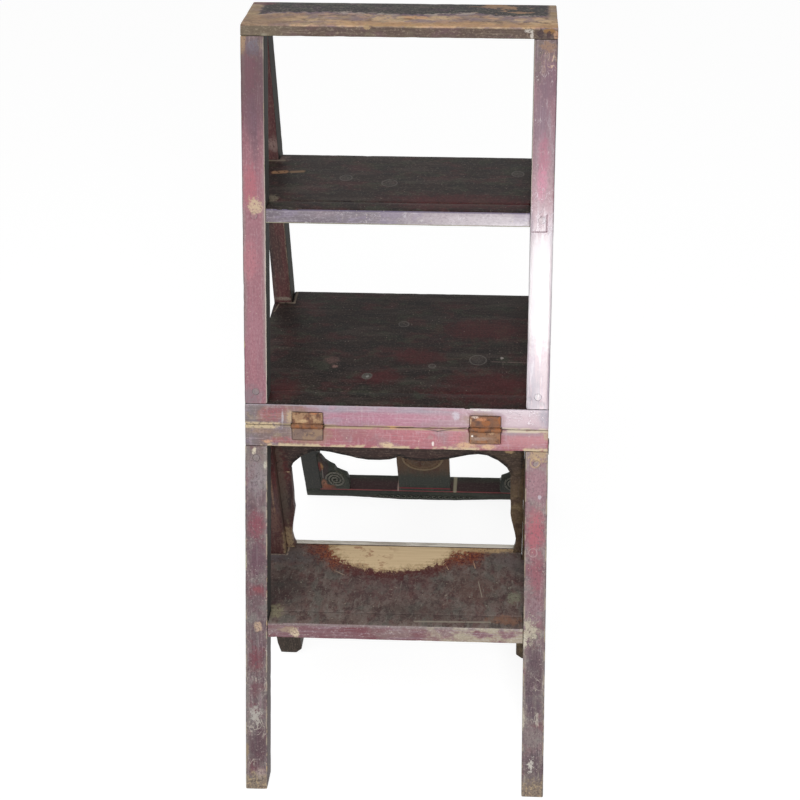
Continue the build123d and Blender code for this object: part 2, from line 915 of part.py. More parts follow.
make_lower_stile()
make_front_leg()
make_hinge_rails()
make_apron()
make_apron_strip()
make_lower_step()
make_upper_stile()
make_rear_post()
make_seat()
make_upper_step()
make_top_board()
make_crest()
make_splat()
make_scroll_bracket()
add_rail_tenons()
add_upright_tenons()
add_splat_tenons()
add_rear_rail_tenons()
add_pegs()
add_step_nails()
make_hinges()
write_pieces()
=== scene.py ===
import math

import bpy
import numpy as np
from mathutils import Matrix, Vector, noise


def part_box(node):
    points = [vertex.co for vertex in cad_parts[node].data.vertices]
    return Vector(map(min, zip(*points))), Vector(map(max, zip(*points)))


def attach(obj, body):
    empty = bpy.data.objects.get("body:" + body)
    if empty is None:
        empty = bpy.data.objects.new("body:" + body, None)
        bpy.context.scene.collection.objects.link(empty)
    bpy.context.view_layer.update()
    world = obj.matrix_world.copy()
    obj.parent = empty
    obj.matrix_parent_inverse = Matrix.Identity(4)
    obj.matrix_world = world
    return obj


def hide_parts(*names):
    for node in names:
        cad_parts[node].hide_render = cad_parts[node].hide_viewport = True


# A folding step-chair of old red lacquer, opened out as steps.
# +X is the climber's right, +Y points away from the climber, +Z is up. Measures named here are
# in metres. Places and sizes in tables and calls are in millimetres, strengths in percent.

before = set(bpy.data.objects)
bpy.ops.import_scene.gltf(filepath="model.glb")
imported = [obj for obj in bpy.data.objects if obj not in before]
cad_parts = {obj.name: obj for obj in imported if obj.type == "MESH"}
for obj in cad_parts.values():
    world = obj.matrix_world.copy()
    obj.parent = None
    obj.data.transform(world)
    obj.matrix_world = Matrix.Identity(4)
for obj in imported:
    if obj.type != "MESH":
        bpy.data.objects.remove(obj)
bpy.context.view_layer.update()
bpy.ops.object.select_all(action="DESELECT")
bpy.context.scene.view_settings.view_transform = "Standard"

# The climbing face leans back, and the chair's back is raked the other way
climb_run, climb_rise = 0.240, 0.450
back_run, back_rise = 0.104, 0.450
back_foot = 610  # millimetres behind the climbing feet
feet_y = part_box("lower_stile_left")[0].y

climb_angle = math.atan2(climb_run, climb_rise)
back_angle = math.atan2(back_run, back_rise)
CLIMB_UP = Vector((0, math.sin(climb_angle), math.cos(climb_angle)))
CLIMB_OUT = Vector((0, -math.cos(climb_angle), math.sin(climb_angle)))
BACK_UP = Vector((0, -math.sin(back_angle), math.cos(back_angle)))
BACK_OUT = Vector((0, -math.cos(back_angle), -math.sin(back_angle)))
ACROSS = Vector((1, 0, 0))
TOWARDS = Vector((0, -1, 0))
AWAY = Vector((0, 1, 0))
UP = Vector((0, 0, 1))

# How high the treads are, in millimetres
low_step, seat, high_step, top_step = 212, 475.3, 699, 900

# How the wood has worn
arris = 0.0016
fine_arris = 0.0007
division = 0.007
hollow = 0.0003
dent = 0.0009
weld = 0.00001


def at(x, from_feet, z):
    """A place in millimetres from the middle, from the climbing feet and from the floor."""
    return Vector((x / 1000, feet_y + from_feet / 1000, z / 1000))


def on_face(x, z):
    """A place on the climbing face."""
    return at(x, z * climb_run / climb_rise, z)


def on_back(x, up, out=0):
    """A place on the front of the chair's back, measured up its slope from the floor."""
    return at(x, back_foot, 0) + (BACK_UP * up + BACK_OUT * out) / 1000


def tone(code):
    """A surface colour from its hexadecimal code."""
    channels = []
    for start in (0, 2, 4):
        share = int(code[start:start + 2], 16) / 255
        channels.append(share / 12.92 if share <= 0.04045 else ((share + 0.055) / 1.055) ** 2.4)
    return (*channels, 1)


def wire(tree, kind, values, **settings):
    """A shader node with its settings, and its inputs as values, colour codes or other outputs."""
    made = tree.nodes.new("ShaderNode" + kind)
    for name, value in settings.items():
        setattr(made, name, value)
    for socket, value in values.items():
        if isinstance(value, bpy.types.NodeSocket):
            tree.links.new(value, made.inputs[socket])
        else:
            made.inputs[socket].default_value = tone(value) if isinstance(value, str) else value
    return made


def activate(piece):
    """Make a piece the only selected one."""
    bpy.ops.object.select_all(action="DESELECT")
    piece.select_set(True)
    bpy.context.view_layer.objects.active = piece


def edit(piece):
    """Open a piece for editing with all of it selected."""
    activate(piece)
    bpy.ops.object.mode_set(mode="EDIT")
    bpy.ops.mesh.select_all(action="SELECT")


def close():
    """Leave editing."""
    bpy.ops.object.mode_set(mode="OBJECT")


def settle(place=True):
    """Bring a piece's size, and its place and turn, into its mesh."""
    bpy.ops.object.transform_apply(location=place, rotation=place, scale=True)


def join_to(piece):
    """Join what is selected to a piece."""
    piece.select_set(True)
    bpy.context.view_layer.objects.active = piece
    bpy.ops.object.join()


class Finish:
    """A procedural finish, painted layer over layer."""

    def __init__(self, name, colour, rough):
        self.material = bpy.data.materials.new(name)
        self.material.use_nodes = True
        self.tree = self.material.node_tree
        self.place = self.node("TexCoord", {}).outputs["Object"]
        self.x, self.y, self.z = self.parts(self.place)
        self.ragged = self.noise(self.place, 130, 5, 0.7)
        self.grit = self.noise(self.place, 420, 3, 0.75)
        self.colour, self.rough, self.height = colour, rough, 0.0

    def node(self, kind, values, **settings):
        return wire(self.tree, kind, values, **settings)

    def math(self, operation, a, b=0.0):
        return self.node("Math", {0: a, 1: b}, operation=operation).outputs[0]

    def vector(self, operation, a, b):
        return self.node("VectorMath", {0: a, 1: b}, operation=operation).outputs[0]

    def parts(self, vector):
        """The three numbers of a vector."""
        return self.node("SeparateXYZ", {0: vector}).outputs

    def worn(self):
        """Read what the wooden pieces carry: their grain, their nearest edge and their facing."""
        grain, edge, facing = [self.node("Attribute", {}, attribute_name=name).outputs
                               for name in ("grain", "edge", "facing")]
        self.grain = grain["Vector"]
        self.across = self.far(self.parts(self.grain)[1])
        self.edge = edge["Fac"]
        _, self.side, self.front = self.parts(facing["Vector"])
        self.grit = self.noise(self.stretched(self.grain, 260, 430, 430), 1, 4, 0.72)
        return self

    def times(self, *masks):
        whole = masks[0]
        for mask in masks[1:]:
            whole = self.math("MULTIPLY", whole, mask)
        return whole

    def plus(self, a, b):
        return self.math("ADD", a, b)

    def less(self, a, b):
        return self.math("SUBTRACT", a, b)

    def rest(self, mask):
        """All that a mask leaves out."""
        return self.less(1.0, mask)

    def far(self, value):
        """A number without its sign."""
        return self.math("ABSOLUTE", value)

    def band(self, value, low, high):
        """A soft step that goes from 0 at low to 1 at high; high may be the smaller."""
        values = {"Value": value, "From Min": low, "From Max": high}
        return self.node("MapRange", values, interpolation_type="SMOOTHSTEP").outputs[0]

    def torn(self, value, low, high, swing=0.02):
        """A soft step whose edge wanders by a swing."""
        moved = self.plus(value, self.times(self.less(self.ragged, 0.5), 2 * swing))
        return self.band(moved, low, high)

    def stretched(self, vector, *scales):
        """A vector scaled along each of its axes."""
        return self.vector("MULTIPLY", vector, scales)

    def noise(self, vector, scale, detail=3.0, rough=0.55, twist=0.0):
        values = {"Vector": vector, "Scale": scale, "Detail": detail, "Roughness": rough}
        return self.node("TexNoise", {**values, "Distortion": twist}).outputs[0]

    def streaks(self, run, width, low, high, detail=4.0):
        """Streaks along the grain: fewer or more to the metre, along it and across it."""
        vector = self.stretched(self.grain, run, width, width)
        return self.band(self.noise(vector, 1, detail, 0.62), low / 100, high / 100)

    def wrinkles(self, run, width, thick=0.02):
        """Thin winding lines along the grain, as old lacquer crazes."""
        vector = self.stretched(self.grain, run, width, width)
        off = self.less(self.noise(vector, 1, 2, 0.5, 0.7), 0.5)
        return self.band(self.far(off), thick, thick * 0.3)

    def specks(self, scale, low, high):
        """Fine grains that run no way."""
        return self.band(self.noise(self.place, scale, 2, 0.6), low / 100, high / 100)

    def dots(self, scale, size, share):
        """Scattered small dots, in a share of the cells."""
        cells = self.node("TexVoronoi", {"Vector": self.place, "Scale": scale}).outputs
        edge = self.plus(cells["Distance"], self.times(self.ragged, 0.3))
        pick = self.band(self.parts(cells["Color"])[0], share, share + 0.05)
        return self.times(self.band(edge, size + 0.15, size * 0.5 + 0.15), pick)

    def reach(self, place, size, rag):
        """The distance from a place, as a share of a size on each axis, made ragged."""
        moved = self.vector("SUBTRACT", self.place, place)
        scaled = self.stretched(moved, *[1000 / side for side in size])
        far = self.node("VectorMath", {0: scaled}, operation="LENGTH").outputs["Value"]
        torn = self.plus(self.ragged, self.times(self.grit, 0.9))
        return self.plus(far, self.times(self.less(torn, 0.95), 2 * rag))

    def clouds(self, scale, low, high, shift, detail=6.0, shape=(0.6, 1.0, 1.0)):
        """Cloudy patches, a little longer across the object; the shift picks which ones."""
        vector = self.stretched(self.vector("ADD", self.place, (shift, shift, 0)), *shape)
        return self.band(self.noise(vector, scale, detail, 0.62), low / 100, high / 100)

    def spot(self, place, size, rag=0.5, soft=0.15):
        """A mask for a ragged patch round a place; all but the smallest are flaking."""
        whole = self.band(self.reach(place, size, rag), 1 + soft, 1 - soft)
        return self.times(whole, self.band(self.grit, 0.34, 0.50)) if max(size) > 4 else whole

    def scratch(self, start, end, width, gaps):
        """A mask for a thin broken line between two places."""
        run = end - start
        moved = self.vector("SUBTRACT", self.place, start)
        values = {0: moved, 1: run / run.length_squared}
        share = self.node("VectorMath", values, operation="DOT_PRODUCT").outputs["Value"]
        values = {0: run, "Scale": self.node("Clamp", {0: share}).outputs[0]}
        values = {0: moved, 1: self.node("VectorMath", values, operation="SCALE").outputs[0]}
        off = self.node("VectorMath", values, operation="DISTANCE").outputs["Value"]
        line = self.band(off, width / 1000, width * 0.4 / 1000)
        return self.times(line, self.band(self.ragged, gaps, gaps + 0.12))

    def ring(self, place, radius, width):
        """A mask for a faint round mark."""
        off = self.far(self.less(self.reach(place, (radius, radius, radius), 0.12), 1.0))
        return self.band(off, width / radius, 0.0)

    def blend(self, share, below, above):
        """Two colours mixed."""
        return self.node("Mix", {0: share, 6: below, 7: above}, data_type="RGBA").outputs[2]

    def between(self, share, below, above):
        """Two numbers mixed."""
        return self.node("Mix", {0: share, 2: below, 3: above}).outputs[0]

    def paint(self, mask, colour, strength=100, rough=None, height=0.0):
        """Lay a colour over the ones below it, with its own roughness and height.

        A group of masks is multiplied. Strength and roughness are in percent.
        """
        if isinstance(mask, tuple):
            mask = self.times(*mask)
        if strength != 100:
            mask = self.times(mask, strength / 100)
        self.colour = self.blend(mask, self.colour, colour)
        if rough is not None:
            self.rough = self.between(mask, self.rough, rough / 100)
        if height:
            self.height = self.plus(self.height, self.times(mask, height))

    def done(self, shine=0.5, metal=0.0):
        """Give the painted layers to the shader."""
        values = {"Height": self.height, "Distance": 0.0005, "Strength": 1.0}
        shader = self.tree.nodes["Principled BSDF"].inputs
        self.tree.links.new(self.node("Bump", values).outputs[0], shader["Normal"])
        self.tree.links.new(self.colour, shader["Base Color"])
        self.tree.links.new(self.rough, shader["Roughness"])
        shader["Specular IOR Level"].default_value = shine
        shader["Metallic"].default_value = metal
        return self.material


def bare_wood(f):
    """Pale wood with its own grain."""
    fibre = f.noise(f.stretched(f.grain, 14, 330, 330), 1, 4)
    return f.blend(f.band(fibre, 0.35, 0.68), "ac906c", "d4bc96")


def rub_edges(f, width, colour, share, strength=100):
    """Lacquer rubbed through along the edges, more in some places than in others."""
    local = f.noise(f.stretched(f.grain, 26, 60, 60), 1, 5, 0.75)
    limit = f.times(f.band(local, share / 100, share / 100 + 0.22), width / 1000)
    f.paint(f.band(f.less(f.edge, limit), 0.0002, -0.0003), colour, strength, 62, -0.5)


def hairlines(f, colour, strength):
    """Fine scuffs along the grain."""
    hair = f.noise(f.stretched(f.grain, 18, 620, 620), 1, 2)
    f.paint(f.band(hair, 0.54, 0.7), colour, strength, 45, 0.06)


def mottle(f, dark, light, strength):
    """A fine speckle of darker and lighter grains."""
    f.paint(f.band(f.grit, 0.49, 0.38), dark, strength, None, -0.05)
    f.paint(f.band(f.grit, 0.53, 0.64), light, strength, None, 0.05)


def chips(f, colour, scale, strength, share):
    """Small chips through the lacquer."""
    f.paint(f.dots(scale, 0.2, share / 100), colour, strength, 60, -0.2)


def rose_stile():
    """The slanted uprights: faded rose lacquer, dusty at the edges, with their sides painted dark as
    shade and a painted glare on the right one.
    """
    f = Finish("rose_stile", "7a4c58", 0.36).worn()
    bare = bare_wood(f)
    right = f.band(f.x, -0.01, 0.01)
    left = f.rest(right)
    f.paint(f.streaks(6, 60, 46, 64), "925662")
    f.paint(f.streaks(5, 75, 50, 32), "5c3a4a")
    paler = f.times(f.torn(f.z, 0.84, 0.7, 0.05), f.band(f.z, 0.44, 0.46))
    f.paint(paler, "a06a74", 70)
    f.paint((right, paler), "b0929c", 50)

    # Below the seat the lacquer is darker and patchy
    lower = f.band(f.z, 0.46, 0.42)
    left_lower = f.times(lower, left)
    right_foot = f.times(lower, right, f.torn(f.z, 0.23, 0.19, 0.04))
    f.paint(lower, "7c545a", 75, 45)
    f.paint(left_lower, "5a4a4d", 75, 50)
    f.paint(right_foot, "6a585b", 80, 50)
    f.paint((lower, f.clouds(44, 50, 60, 7.7)), "70343e", 60, 42)
    f.paint((lower, f.clouds(52, 50, 62, 1.3)), "7c7a74", 55, 55)
    f.paint((lower, f.clouds(58, 52, 62, 3.1)), "482e3a", 50, 45)
    f.paint((right_foot, f.streaks(13, 110, 50, 60)), "a89e90", 55, 55)
    f.paint((right_foot, f.streaks(10, 90, 50, 40)), "3e2630", 60, 42)
    f.paint((left_lower, f.streaks(11, 100, 50, 60)), "8c8682", 40, 55)
    f.paint((left_lower, f.streaks(9, 80, 50, 40)), "54323e", 40, 42)
    rim = f.times(f.band(f.across, 0.008, 0.014), f.streaks(16, 30, 40, 56))
    f.paint((rim, f.band(f.z, 0.8, 0.7)), "867e78", 60, 50)

    # Above the seat it is mauve at the top and rose further down
    dim = f.times(left, f.torn(f.z, 0.74, 0.84, 0.03))
    f.paint(dim, "56303e", 70, 40)
    upper_right = f.times(right, f.torn(f.z, 0.71, 0.78, 0.03))
    f.paint(upper_right, "7a5c68", 60, 45)
    f.paint((upper_right, f.streaks(12, 90, 52, 64)), "9c8a92", 60, 50)
    f.paint(f.torn(f.z, 0.85, 0.885, 0.03), "64544c", 60, 50)
    f.paint((f.torn(f.z, 0.83, 0.87), f.clouds(80, 48, 56, 2.1)), "7a6856", 55, 50)
    f.paint((f.torn(f.z, 0.82, 0.86), f.streaks(14, 90, 52, 60)), "403036", 50, 50)
    hairlines(f, "c0a8b0", 25)
    mottle(f, "4a343e", "bea6a8", 26)
    for x, z, wide, high, colour, strength in [
        (-188, 851, 9, 28, "702c44", 70), (-199, 855, 4.5, 45, "705c58", 60),
        (-186, 800, 10, 22, "684258", 50), (-189, 724, 9, 24, "b0525e", 50),
        (-191, 483, 14, 13, "706c72", 60), (-185, 408, 16, 18, "766e64", 60),
        (-191, 640, 10, 22, "b8707a", 50), (-188, 560, 11, 30, "a0707c", 40),
        (190, 843, 10, 20, "624254", 60), (182, 800, 9, 24, "6c4e62", 50),
        (185, 762, 7, 22, "aa5670", 60), (184, 730, 6, 18, "ce7092", 50),
        (-186, 390, 12, 24, "92868c", 60), (-185, 330, 11, 17, "803848", 75),
        (-185, 290, 11, 20, "643e4e", 60), (-185, 252, 7, 4, "8a3c44", 60),
        (-188, 163, 9, 14, "702e3a", 75), (-188, 128, 10, 10, "68343e", 60),
        (-187, 52, 11, 24, "4a2c36", 80), (-184, 18.5, 8, 10, "beaaa2", 70),
        (186, 332, 11, 26, "a44654", 80), (187, 384, 13, 22, "966874", 60),
        (188, 282, 9, 26, "8a4250", 60), (186, 236, 13, 16, "867076", 60),
        (190, 160, 10, 26, "462a36", 80), (188, 116, 11, 20, "422c3c", 70),
        (188, 74, 12, 14, "887e7a", 60), (188, 42, 12, 14, "4a343e", 75),
    ]:
        f.paint(f.spot(on_face(x, z), (wide, 50, high), 0.9, 0.45), colour, strength, 42)
    light = "baaea6"
    f.paint((lower, f.specks(330, 60, 68), f.clouds(30, 46, 58, 9.2)), light, 40, 60, 0.05)
    f.paint((lower, f.specks(360, 40, 34)), "36262c", 50, 50)
    crazed = f.times(upper_right, f.torn(f.z, 0.88, 0.86), f.clouds(36, 46, 54, 4.9))
    f.paint((crazed, f.wrinkles(50, 150, 0.015)), "cec0c2", 70, 40, 0.2)
    cream_marks = f.times(right, f.spot(on_face(190, 864), (10, 50, 16), 0.8, 0.5))
    f.paint((cream_marks, f.wrinkles(60, 150, 0.03)), "ceb096", 80, 50)
    worn_away = f.times(f.torn(f.z, 0.17, 0.13, 0.05), f.clouds(34, 48, 56, 2.8))
    f.paint((worn_away, f.wrinkles(40, 110, 0.028)), "beb4a8", 65, 60, 0.1)
    chips(f, "ccb8a8", 230, 50, 86)
    rub_edges(f, 2, bare, 48)
    foot = f.torn(f.z, 0.026, 0.012, 0.022)
    f.paint(foot, "867664", 80, 70, -0.4)
    f.paint((foot, f.specks(300, 52, 60)), "bca482", 70, 70, -0.2)
    f.paint((foot, f.specks(420, 46, 40)), "4c3e38", 70, 70)
    # Along the inner edges above the seat a cream line: worn lacquer, and a painted highlight on the
    # rounding.
    inner = f.band(f.far(f.x), 0.187, 0.181)
    above_seat = f.band(f.z, 0.46, 0.48)
    cream_line_and_highlight = f.times(inner, above_seat, f.band(f.edge, 0.0018, 0.0005))
    f.paint(cream_line_and_highlight, "c4baac", 80, 60, -0.2)
    # Along the outer edges a dark line: painted shade on the rounded edge.
    outer = f.band(f.far(f.x), 0.196, 0.199)
    outer_edge_shade = f.times(outer, f.band(f.edge, 0.0016, 0.0006))
    f.paint(outer_edge_shade, "3e323a", 70, 50)
    worn_line = f.times(lower, f.band(f.edge, 0.0026, 0.0008), f.clouds(60, 48, 56, 5.5))
    f.paint(worn_line, "b8aa92", 70, 60, -0.2)
    for x, z, wide, deep, high, rag, colour in [
        (-182.5, 701.5, 8.5, 8, 10.5, 1.5, "c8b292"), (-199, 884, 6, 12, 24, 1.2, "9e8062"),
        (-184, 876, 8, 12, 12, 1.2, "68606a"), (-185.8, 891.7, 2.2, 2, 2.8, 0.4, "f4f2f0"),
        (188, 880, 9, 6, 6, 1.5, "8e6e5a"), (-188.1, 419.2, 3, 4, 4.2, 0.9, "d6cab4"),
        (-173.5, 402, 2, 3, 10, 1.2, "beb8a8"), (-185.4, 205.8, 5.8, 6, 7.2, 0.7, "bea28a"),
        (-202, 288, 2.4, 6, 14, 1.4, "b0ac94"), (-172, 178, 2.6, 6, 14, 1.4, "bab4ac"),
        (-190, 96, 7, 10, 10, 2.0, "b8b2aa"), (-203, 50, 3, 6, 30, 1.6, "968268"),
        (180, 210, 10, 14, 16, 2.4, "bab09c"), (174, 196, 4, 8, 8, 2.2, "d0c8b4"),
        (174, 100, 3, 8, 20, 1.8, "beb6a4"), (187, 40, 3.4, 8, 12, 2.2, "cec8be"),
        (186, 421, 11, 12, 9, 2.0, "b29876"), (190.5, 372, 2.4, 3, 2.8, 0.7, "b8aab2"),
        (173.5, 487, 3.2, 3.2, 3, 0.5, "686066"), (190.6, 481.6, 2.8, 2.8, 2.8, 0.5, "786e74"),
    ]:
        f.paint(f.spot(on_face(x, z), (wide, deep, high), rag), colour, 90, 65, -0.15)
    f.paint((dim, f.torn(f.z, 0.88, 0.86)), "421822", 54)
    # On the right stile above the seat, a painted glare: pale, white and grey streaks where the window
    # lamp's reflection falls, over a smoother lacquer.
    gloss_and_painted_glare = f.times(right, f.torn(f.z, 0.72, 0.68), f.band(f.z, 0.44, 0.47))
    f.paint(gloss_and_painted_glare, "baa7af", 50, 25)
    f.paint((gloss_and_painted_glare, f.streaks(12, 150, 50, 60)), "e8e4ea", 50, 22)
    f.paint((gloss_and_painted_glare, f.streaks(9, 170, 50, 42)), "8e7e92", 45, 30)
    whitest_glare = f.times(gloss_and_painted_glare, f.torn(f.z, 0.53, 0.57, 0.03), f.torn(f.z, 0.69, 0.66, 0.02))
    f.paint(whitest_glare, "dcdadc", 50, 24)
    greyest_glare = f.times(gloss_and_painted_glare, f.torn(f.z, 0.54, 0.49, 0.03))
    f.paint((greyest_glare, f.streaks(16, 150, 54, 44)), "807a88", 60, 30)
    f.rough = f.between(gloss_and_painted_glare, f.rough, 0.26)
    # Above the glare, crazed lacquer is painted pale as a highlight.
    crazing_and_highlight = f.times(right, f.torn(f.z, 0.735, 0.715), f.torn(f.z, 0.665, 0.68))
    f.paint((crazing_and_highlight, f.wrinkles(90, 150, 0.025)), "e2d6de", 55, 30, 0.4)
    seam = "7a5864"
    for start, end in [
        (on_face(172, 677.4), on_face(191.4, 677.6)),
        (on_face(191.3, 677.6), on_face(191.1, 696.6)),
    ]:
        f.paint(f.scratch(start, end, 1, 0.2), seam, 80, 50, -0.4)
    f.paint(f.ring(on_face(183.2, 412.3), 6, 1.8), "c2a478", 60, 60, -0.1)
    f.paint(f.ring(on_face(183.4, 304.8), 5.6, 1), "b09696", 60, 50, -0.1)
    # The sides of the uprights are painted near black as painted shade, with streaks in it; near the
    # foot the painted shade is lighter.
    sides = f.band(f.far(f.side), 0.75, 0.9)
    f.paint(sides, "181812", 100, 80)
    f.paint((sides, f.streaks(8, 70, 50, 70)), "302420", 60, 70)
    shaded_low_side = f.times(sides, f.torn(f.z, 0.205, 0.19, 0.01))
    f.paint(shaded_low_side, "544444", 85, 60)
    return f.done(0.65)


def rose_rail():
    """The two rails at the joint line: lilac-rose above it and redder below it, with a painted glare
    at the right end above the joint.
    """
    f = Finish("rose_rail", "9e7480", 0.36).worn()
    bare = bare_wood(f)
    below = f.band(f.z, 0.4505, 0.4495)
    above = f.rest(below)
    f.paint(f.streaks(9, 60, 44, 62), "ac7486")
    f.paint(f.streaks(12, 40, 50, 66), "a0909e", 60)
    f.paint((above, f.band(f.z, 0.465, 0.47), f.streaks(6, 40, 42, 58)), "96909c", 70, 40)
    f.paint((above, f.clouds(36, 52, 62, 1.9, 3)), "aa6c82", 35)
    f.paint(below, "9a525c", 95, 40)
    f.paint((below, f.streaks(10, 60, 46, 62)), "a6626a")
    f.paint((below, f.clouds(34, 52, 64, 5.1, 3)), "8c7074", 50)

    # The left end is grey and tan, with red left in it
    left = f.torn(f.x, -0.105, -0.13, 0.02)
    f.paint(left, "6c5f5a", 90, 45)
    end = f.torn(f.x, -0.176, -0.19, 0.02)
    f.paint(end, "70686a", 70, 50)
    f.paint((left, f.clouds(60, 50, 60, 0.9, 4)), "7c7080", 60, 50)
    f.paint((left, f.clouds(70, 52, 62, 3.7, 4)), "8e7c64", 60, 55)
    for x, z, wide, high, colour, strength in [
        (-166, 463, 16, 9, "923e48", 70), (-150, 465, 8, 10, "8e404c", 50),
        (-125, 470, 24, 3, "96545c", 50), (-140, 432.5, 30, 4.2, "943e46", 70),
        (-185, 443, 22, 3, "987a60", 60), (-196, 440, 8, 8, "766a5c", 60),
        (20, 441, 40, 8, "b05862", 50), (-60, 442, 30, 7, "966060", 50),
        (62, 444, 14, 4, "886e74", 60), (80, 440, 14, 8, "ba606a", 50),
    ]:
        f.paint(f.spot(on_face(x, z), (wide, 20, high), 0.8, 0.45), colour, strength, 42)
    cross = f.noise(f.stretched(f.place, 260, 60, 60), 1, 4)
    f.paint(f.band(cross, 0.52, 0.66), "cebac4", 16, None, 0.03)
    hairlines(f, "ceb8be", 25)
    mottle(f, "6c4c58", "ceb4bc", 20)
    # At the right end above the joint, a painted glare that is pale and whitish, with crazing painted
    # near white as a highlight, over a smoother lacquer.
    gloss_and_painted_glare = f.times(f.band(f.z, 0.45, 0.453), f.torn(f.x, 0.06, 0.15))
    f.paint(gloss_and_painted_glare, "bea8b0", 70, 28)
    crazed = f.times(gloss_and_painted_glare, f.torn(f.x, 0.1, 0.14), f.clouds(60, 42, 52, 3.9))
    f.paint((crazed, f.wrinkles(110, 110, 0.03)), "eee4ea", 60, 35, 0.5)
    f.paint(f.spot(on_face(197, 466), (10, 20, 12), 0.5, 0.4), "96909e", 70, 40)
    f.paint(f.spot(on_face(168, 438.5), (22, 20, 7.5), 0.7, 0.5), "a86066", 70, 40)
    f.paint(f.spot(on_face(165, 446.5), (30, 20, 3), 0.9, 0.5), "84747e", 70, 50)
    for x, z, wide, high in [
        (-125, 460, 27, 10), (-112, 440, 26, 12), (112, 462, 24, 9), (112, 440, 26, 10),
    ]:
        f.paint(f.spot(on_face(x, z), (wide, 20, high), 0.6, 0.4), "927660", 75, 55, -0.05)

    # Along the joint and the lower edge the wood shows in broken lines
    joint = f.far(f.less(f.z, 0.45))
    f.paint((f.band(joint, 0.003, 0.0014), f.streaks(26, 50, 42, 54)), "ac9874", 75, 60, -0.2)
    left_joint = f.times(f.band(joint, 0.0046, 0.0026), f.torn(f.x, -0.15, -0.162),
                         f.band(f.grit, 0.36, 0.5))
    f.paint(left_joint, "ceb892", 80, 60, -0.2)
    right_joint = f.times(f.band(joint, 0.004, 0.0016), f.torn(f.x, 0.128, 0.142),
                          f.streaks(40, 60, 38, 50))
    f.paint(right_joint, "d4c6b0", 80, 60, -0.2)
    bottom = f.torn(f.z, 0.43, 0.4275, 0.004)
    f.paint((bottom, f.streaks(34, 40, 44, 52)), "ccb896", 90, 60, -0.2)
    for x, z, wide, high, colour in [
        (-12, 429.5, 9, 3.4, "d6be98"), (48.5, 432.2, 1.6, 2.6, "f0e8e2"),
        (91, 431.5, 12, 3.6, "d0aa84"), (122, 430, 9, 3, "d4b088"), (-170, 431, 6, 2.2, "d0a07e"),
        (-150, 458.5, 1.6, 9, "b6aeb4"), (-140, 460, 5, 7, "baa07e"), (78, 466, 5, 5, "cac0ca"),
        (112, 473.5, 18, 1.6, "e2ded8"), (198, 444, 5, 5, "b29c82"), (-4, 450.5, 6, 1.8, "d6a86e"),
        (45, 440, 4, 2.4, "a27c7c"),
    ]:
        f.paint(f.spot(on_face(x, z), (wide, 20, high), 1.0, 0.3), colour, 85, 60, -0.1)
    crack = "543e3e"
    for start, end in [
        (on_face(34, 450.6), on_face(54.5, 447)), (on_face(54.5, 447), on_face(72, 450)),
        (on_face(72, 450), on_face(92, 452)), (on_face(130, 452), on_face(150, 450.5)),
    ]:
        f.paint(f.scratch(start, end, 1.2, 0.2), crack, 75, 60, -0.4)
    top = f.band(f.z, 0.4725, 0.4745)
    f.paint(top, "b0a4b0", 60, 50)
    chips(f, "d8ccbc", 200, 50, 88)
    rub_edges(f, 1.2, bare, 54)
    # The lower rail's top, hidden in the joint, is the front of the seat when the chair is folded
    hidden = f.times(f.band(f.z, 0.448, 0.449), f.band(f.side, -0.8, -0.87))
    f.paint(hidden, "543c36", 90, 55)
    f.paint((hidden, f.streaks(8, 60, 46, 62)), "765448", 60, 55)
    return f.done(0.65)


def step_rail_finish():
    """The front rails of the steps: grey-lilac above, rose-brown below, paler to the right, partly as
    a painted sheen.
    """
    f = Finish("step_rail", "726770", 0.36).worn()
    upper = f.band(f.z, 0.4, 0.5)
    lower = f.rest(upper)
    right = f.torn(f.x, -0.06, 0.1, 0.04)
    f.paint(f.streaks(10, 60, 46, 62), "84747c")
    f.paint(f.streaks(8, 50, 50, 36), "625660")
    # The right half is painted paler and smoother: partly the lacquer's own tone, partly a painted
    # sheen where the lamp's reflection falls.
    f.paint(right, "b8acb2", 78, 28)
    f.paint(lower, "764a50", 92, 42)
    f.paint((lower, f.streaks(12, 46, 44, 60)), "682c36", 80)
    f.paint((lower, f.streaks(16, 40, 50, 64)), "887672", 60, 50)
    f.paint((lower, f.torn(f.z, 0.2075, 0.2095, 0.003)), "867c78", 60, 50)
    worn_right = f.times(lower, f.torn(f.x, 0.03, 0.08, 0.05), f.streaks(34, 60, 40, 54))
    f.paint(worn_right, "aea48c", 80, 55, -0.1)
    hairlines(f, "b2a8b4", 30)
    mottle(f, "50424a", "c4bec0", 28)
    crazed = f.times(upper, f.clouds(40, 46, 56, 2.6), f.wrinkles(90, 130, 0.02))
    f.paint(crazed, "d6d0d6", 40, 40, 0.3)
    f.paint((upper, f.clouds(36, 50, 62, 7.4, 3)), "827492", 35)
    f.paint(f.spot(on_face(-135, 200.5), (6, 6, 6), 1.2), "d2bea2", 100, 60, -0.2)
    f.paint(f.spot(on_face(-143, 204), (11, 10, 4), 1.3), "a08c74", 70, 60, -0.1)
    violet = f.times(upper, f.band(f.z, 0.696, 0.6975))
    f.paint(violet, "3c2c54", 80, 45)
    olive = f.times(upper, f.band(f.z, 0.6842, 0.6828))
    f.paint(olive, "969470", 80, 60, -0.1)
    chips(f, "cec4b0", 230, 60, 80)
    rub_edges(f, 1.2, "cebe9e", 52)
    return f.done(0.65)


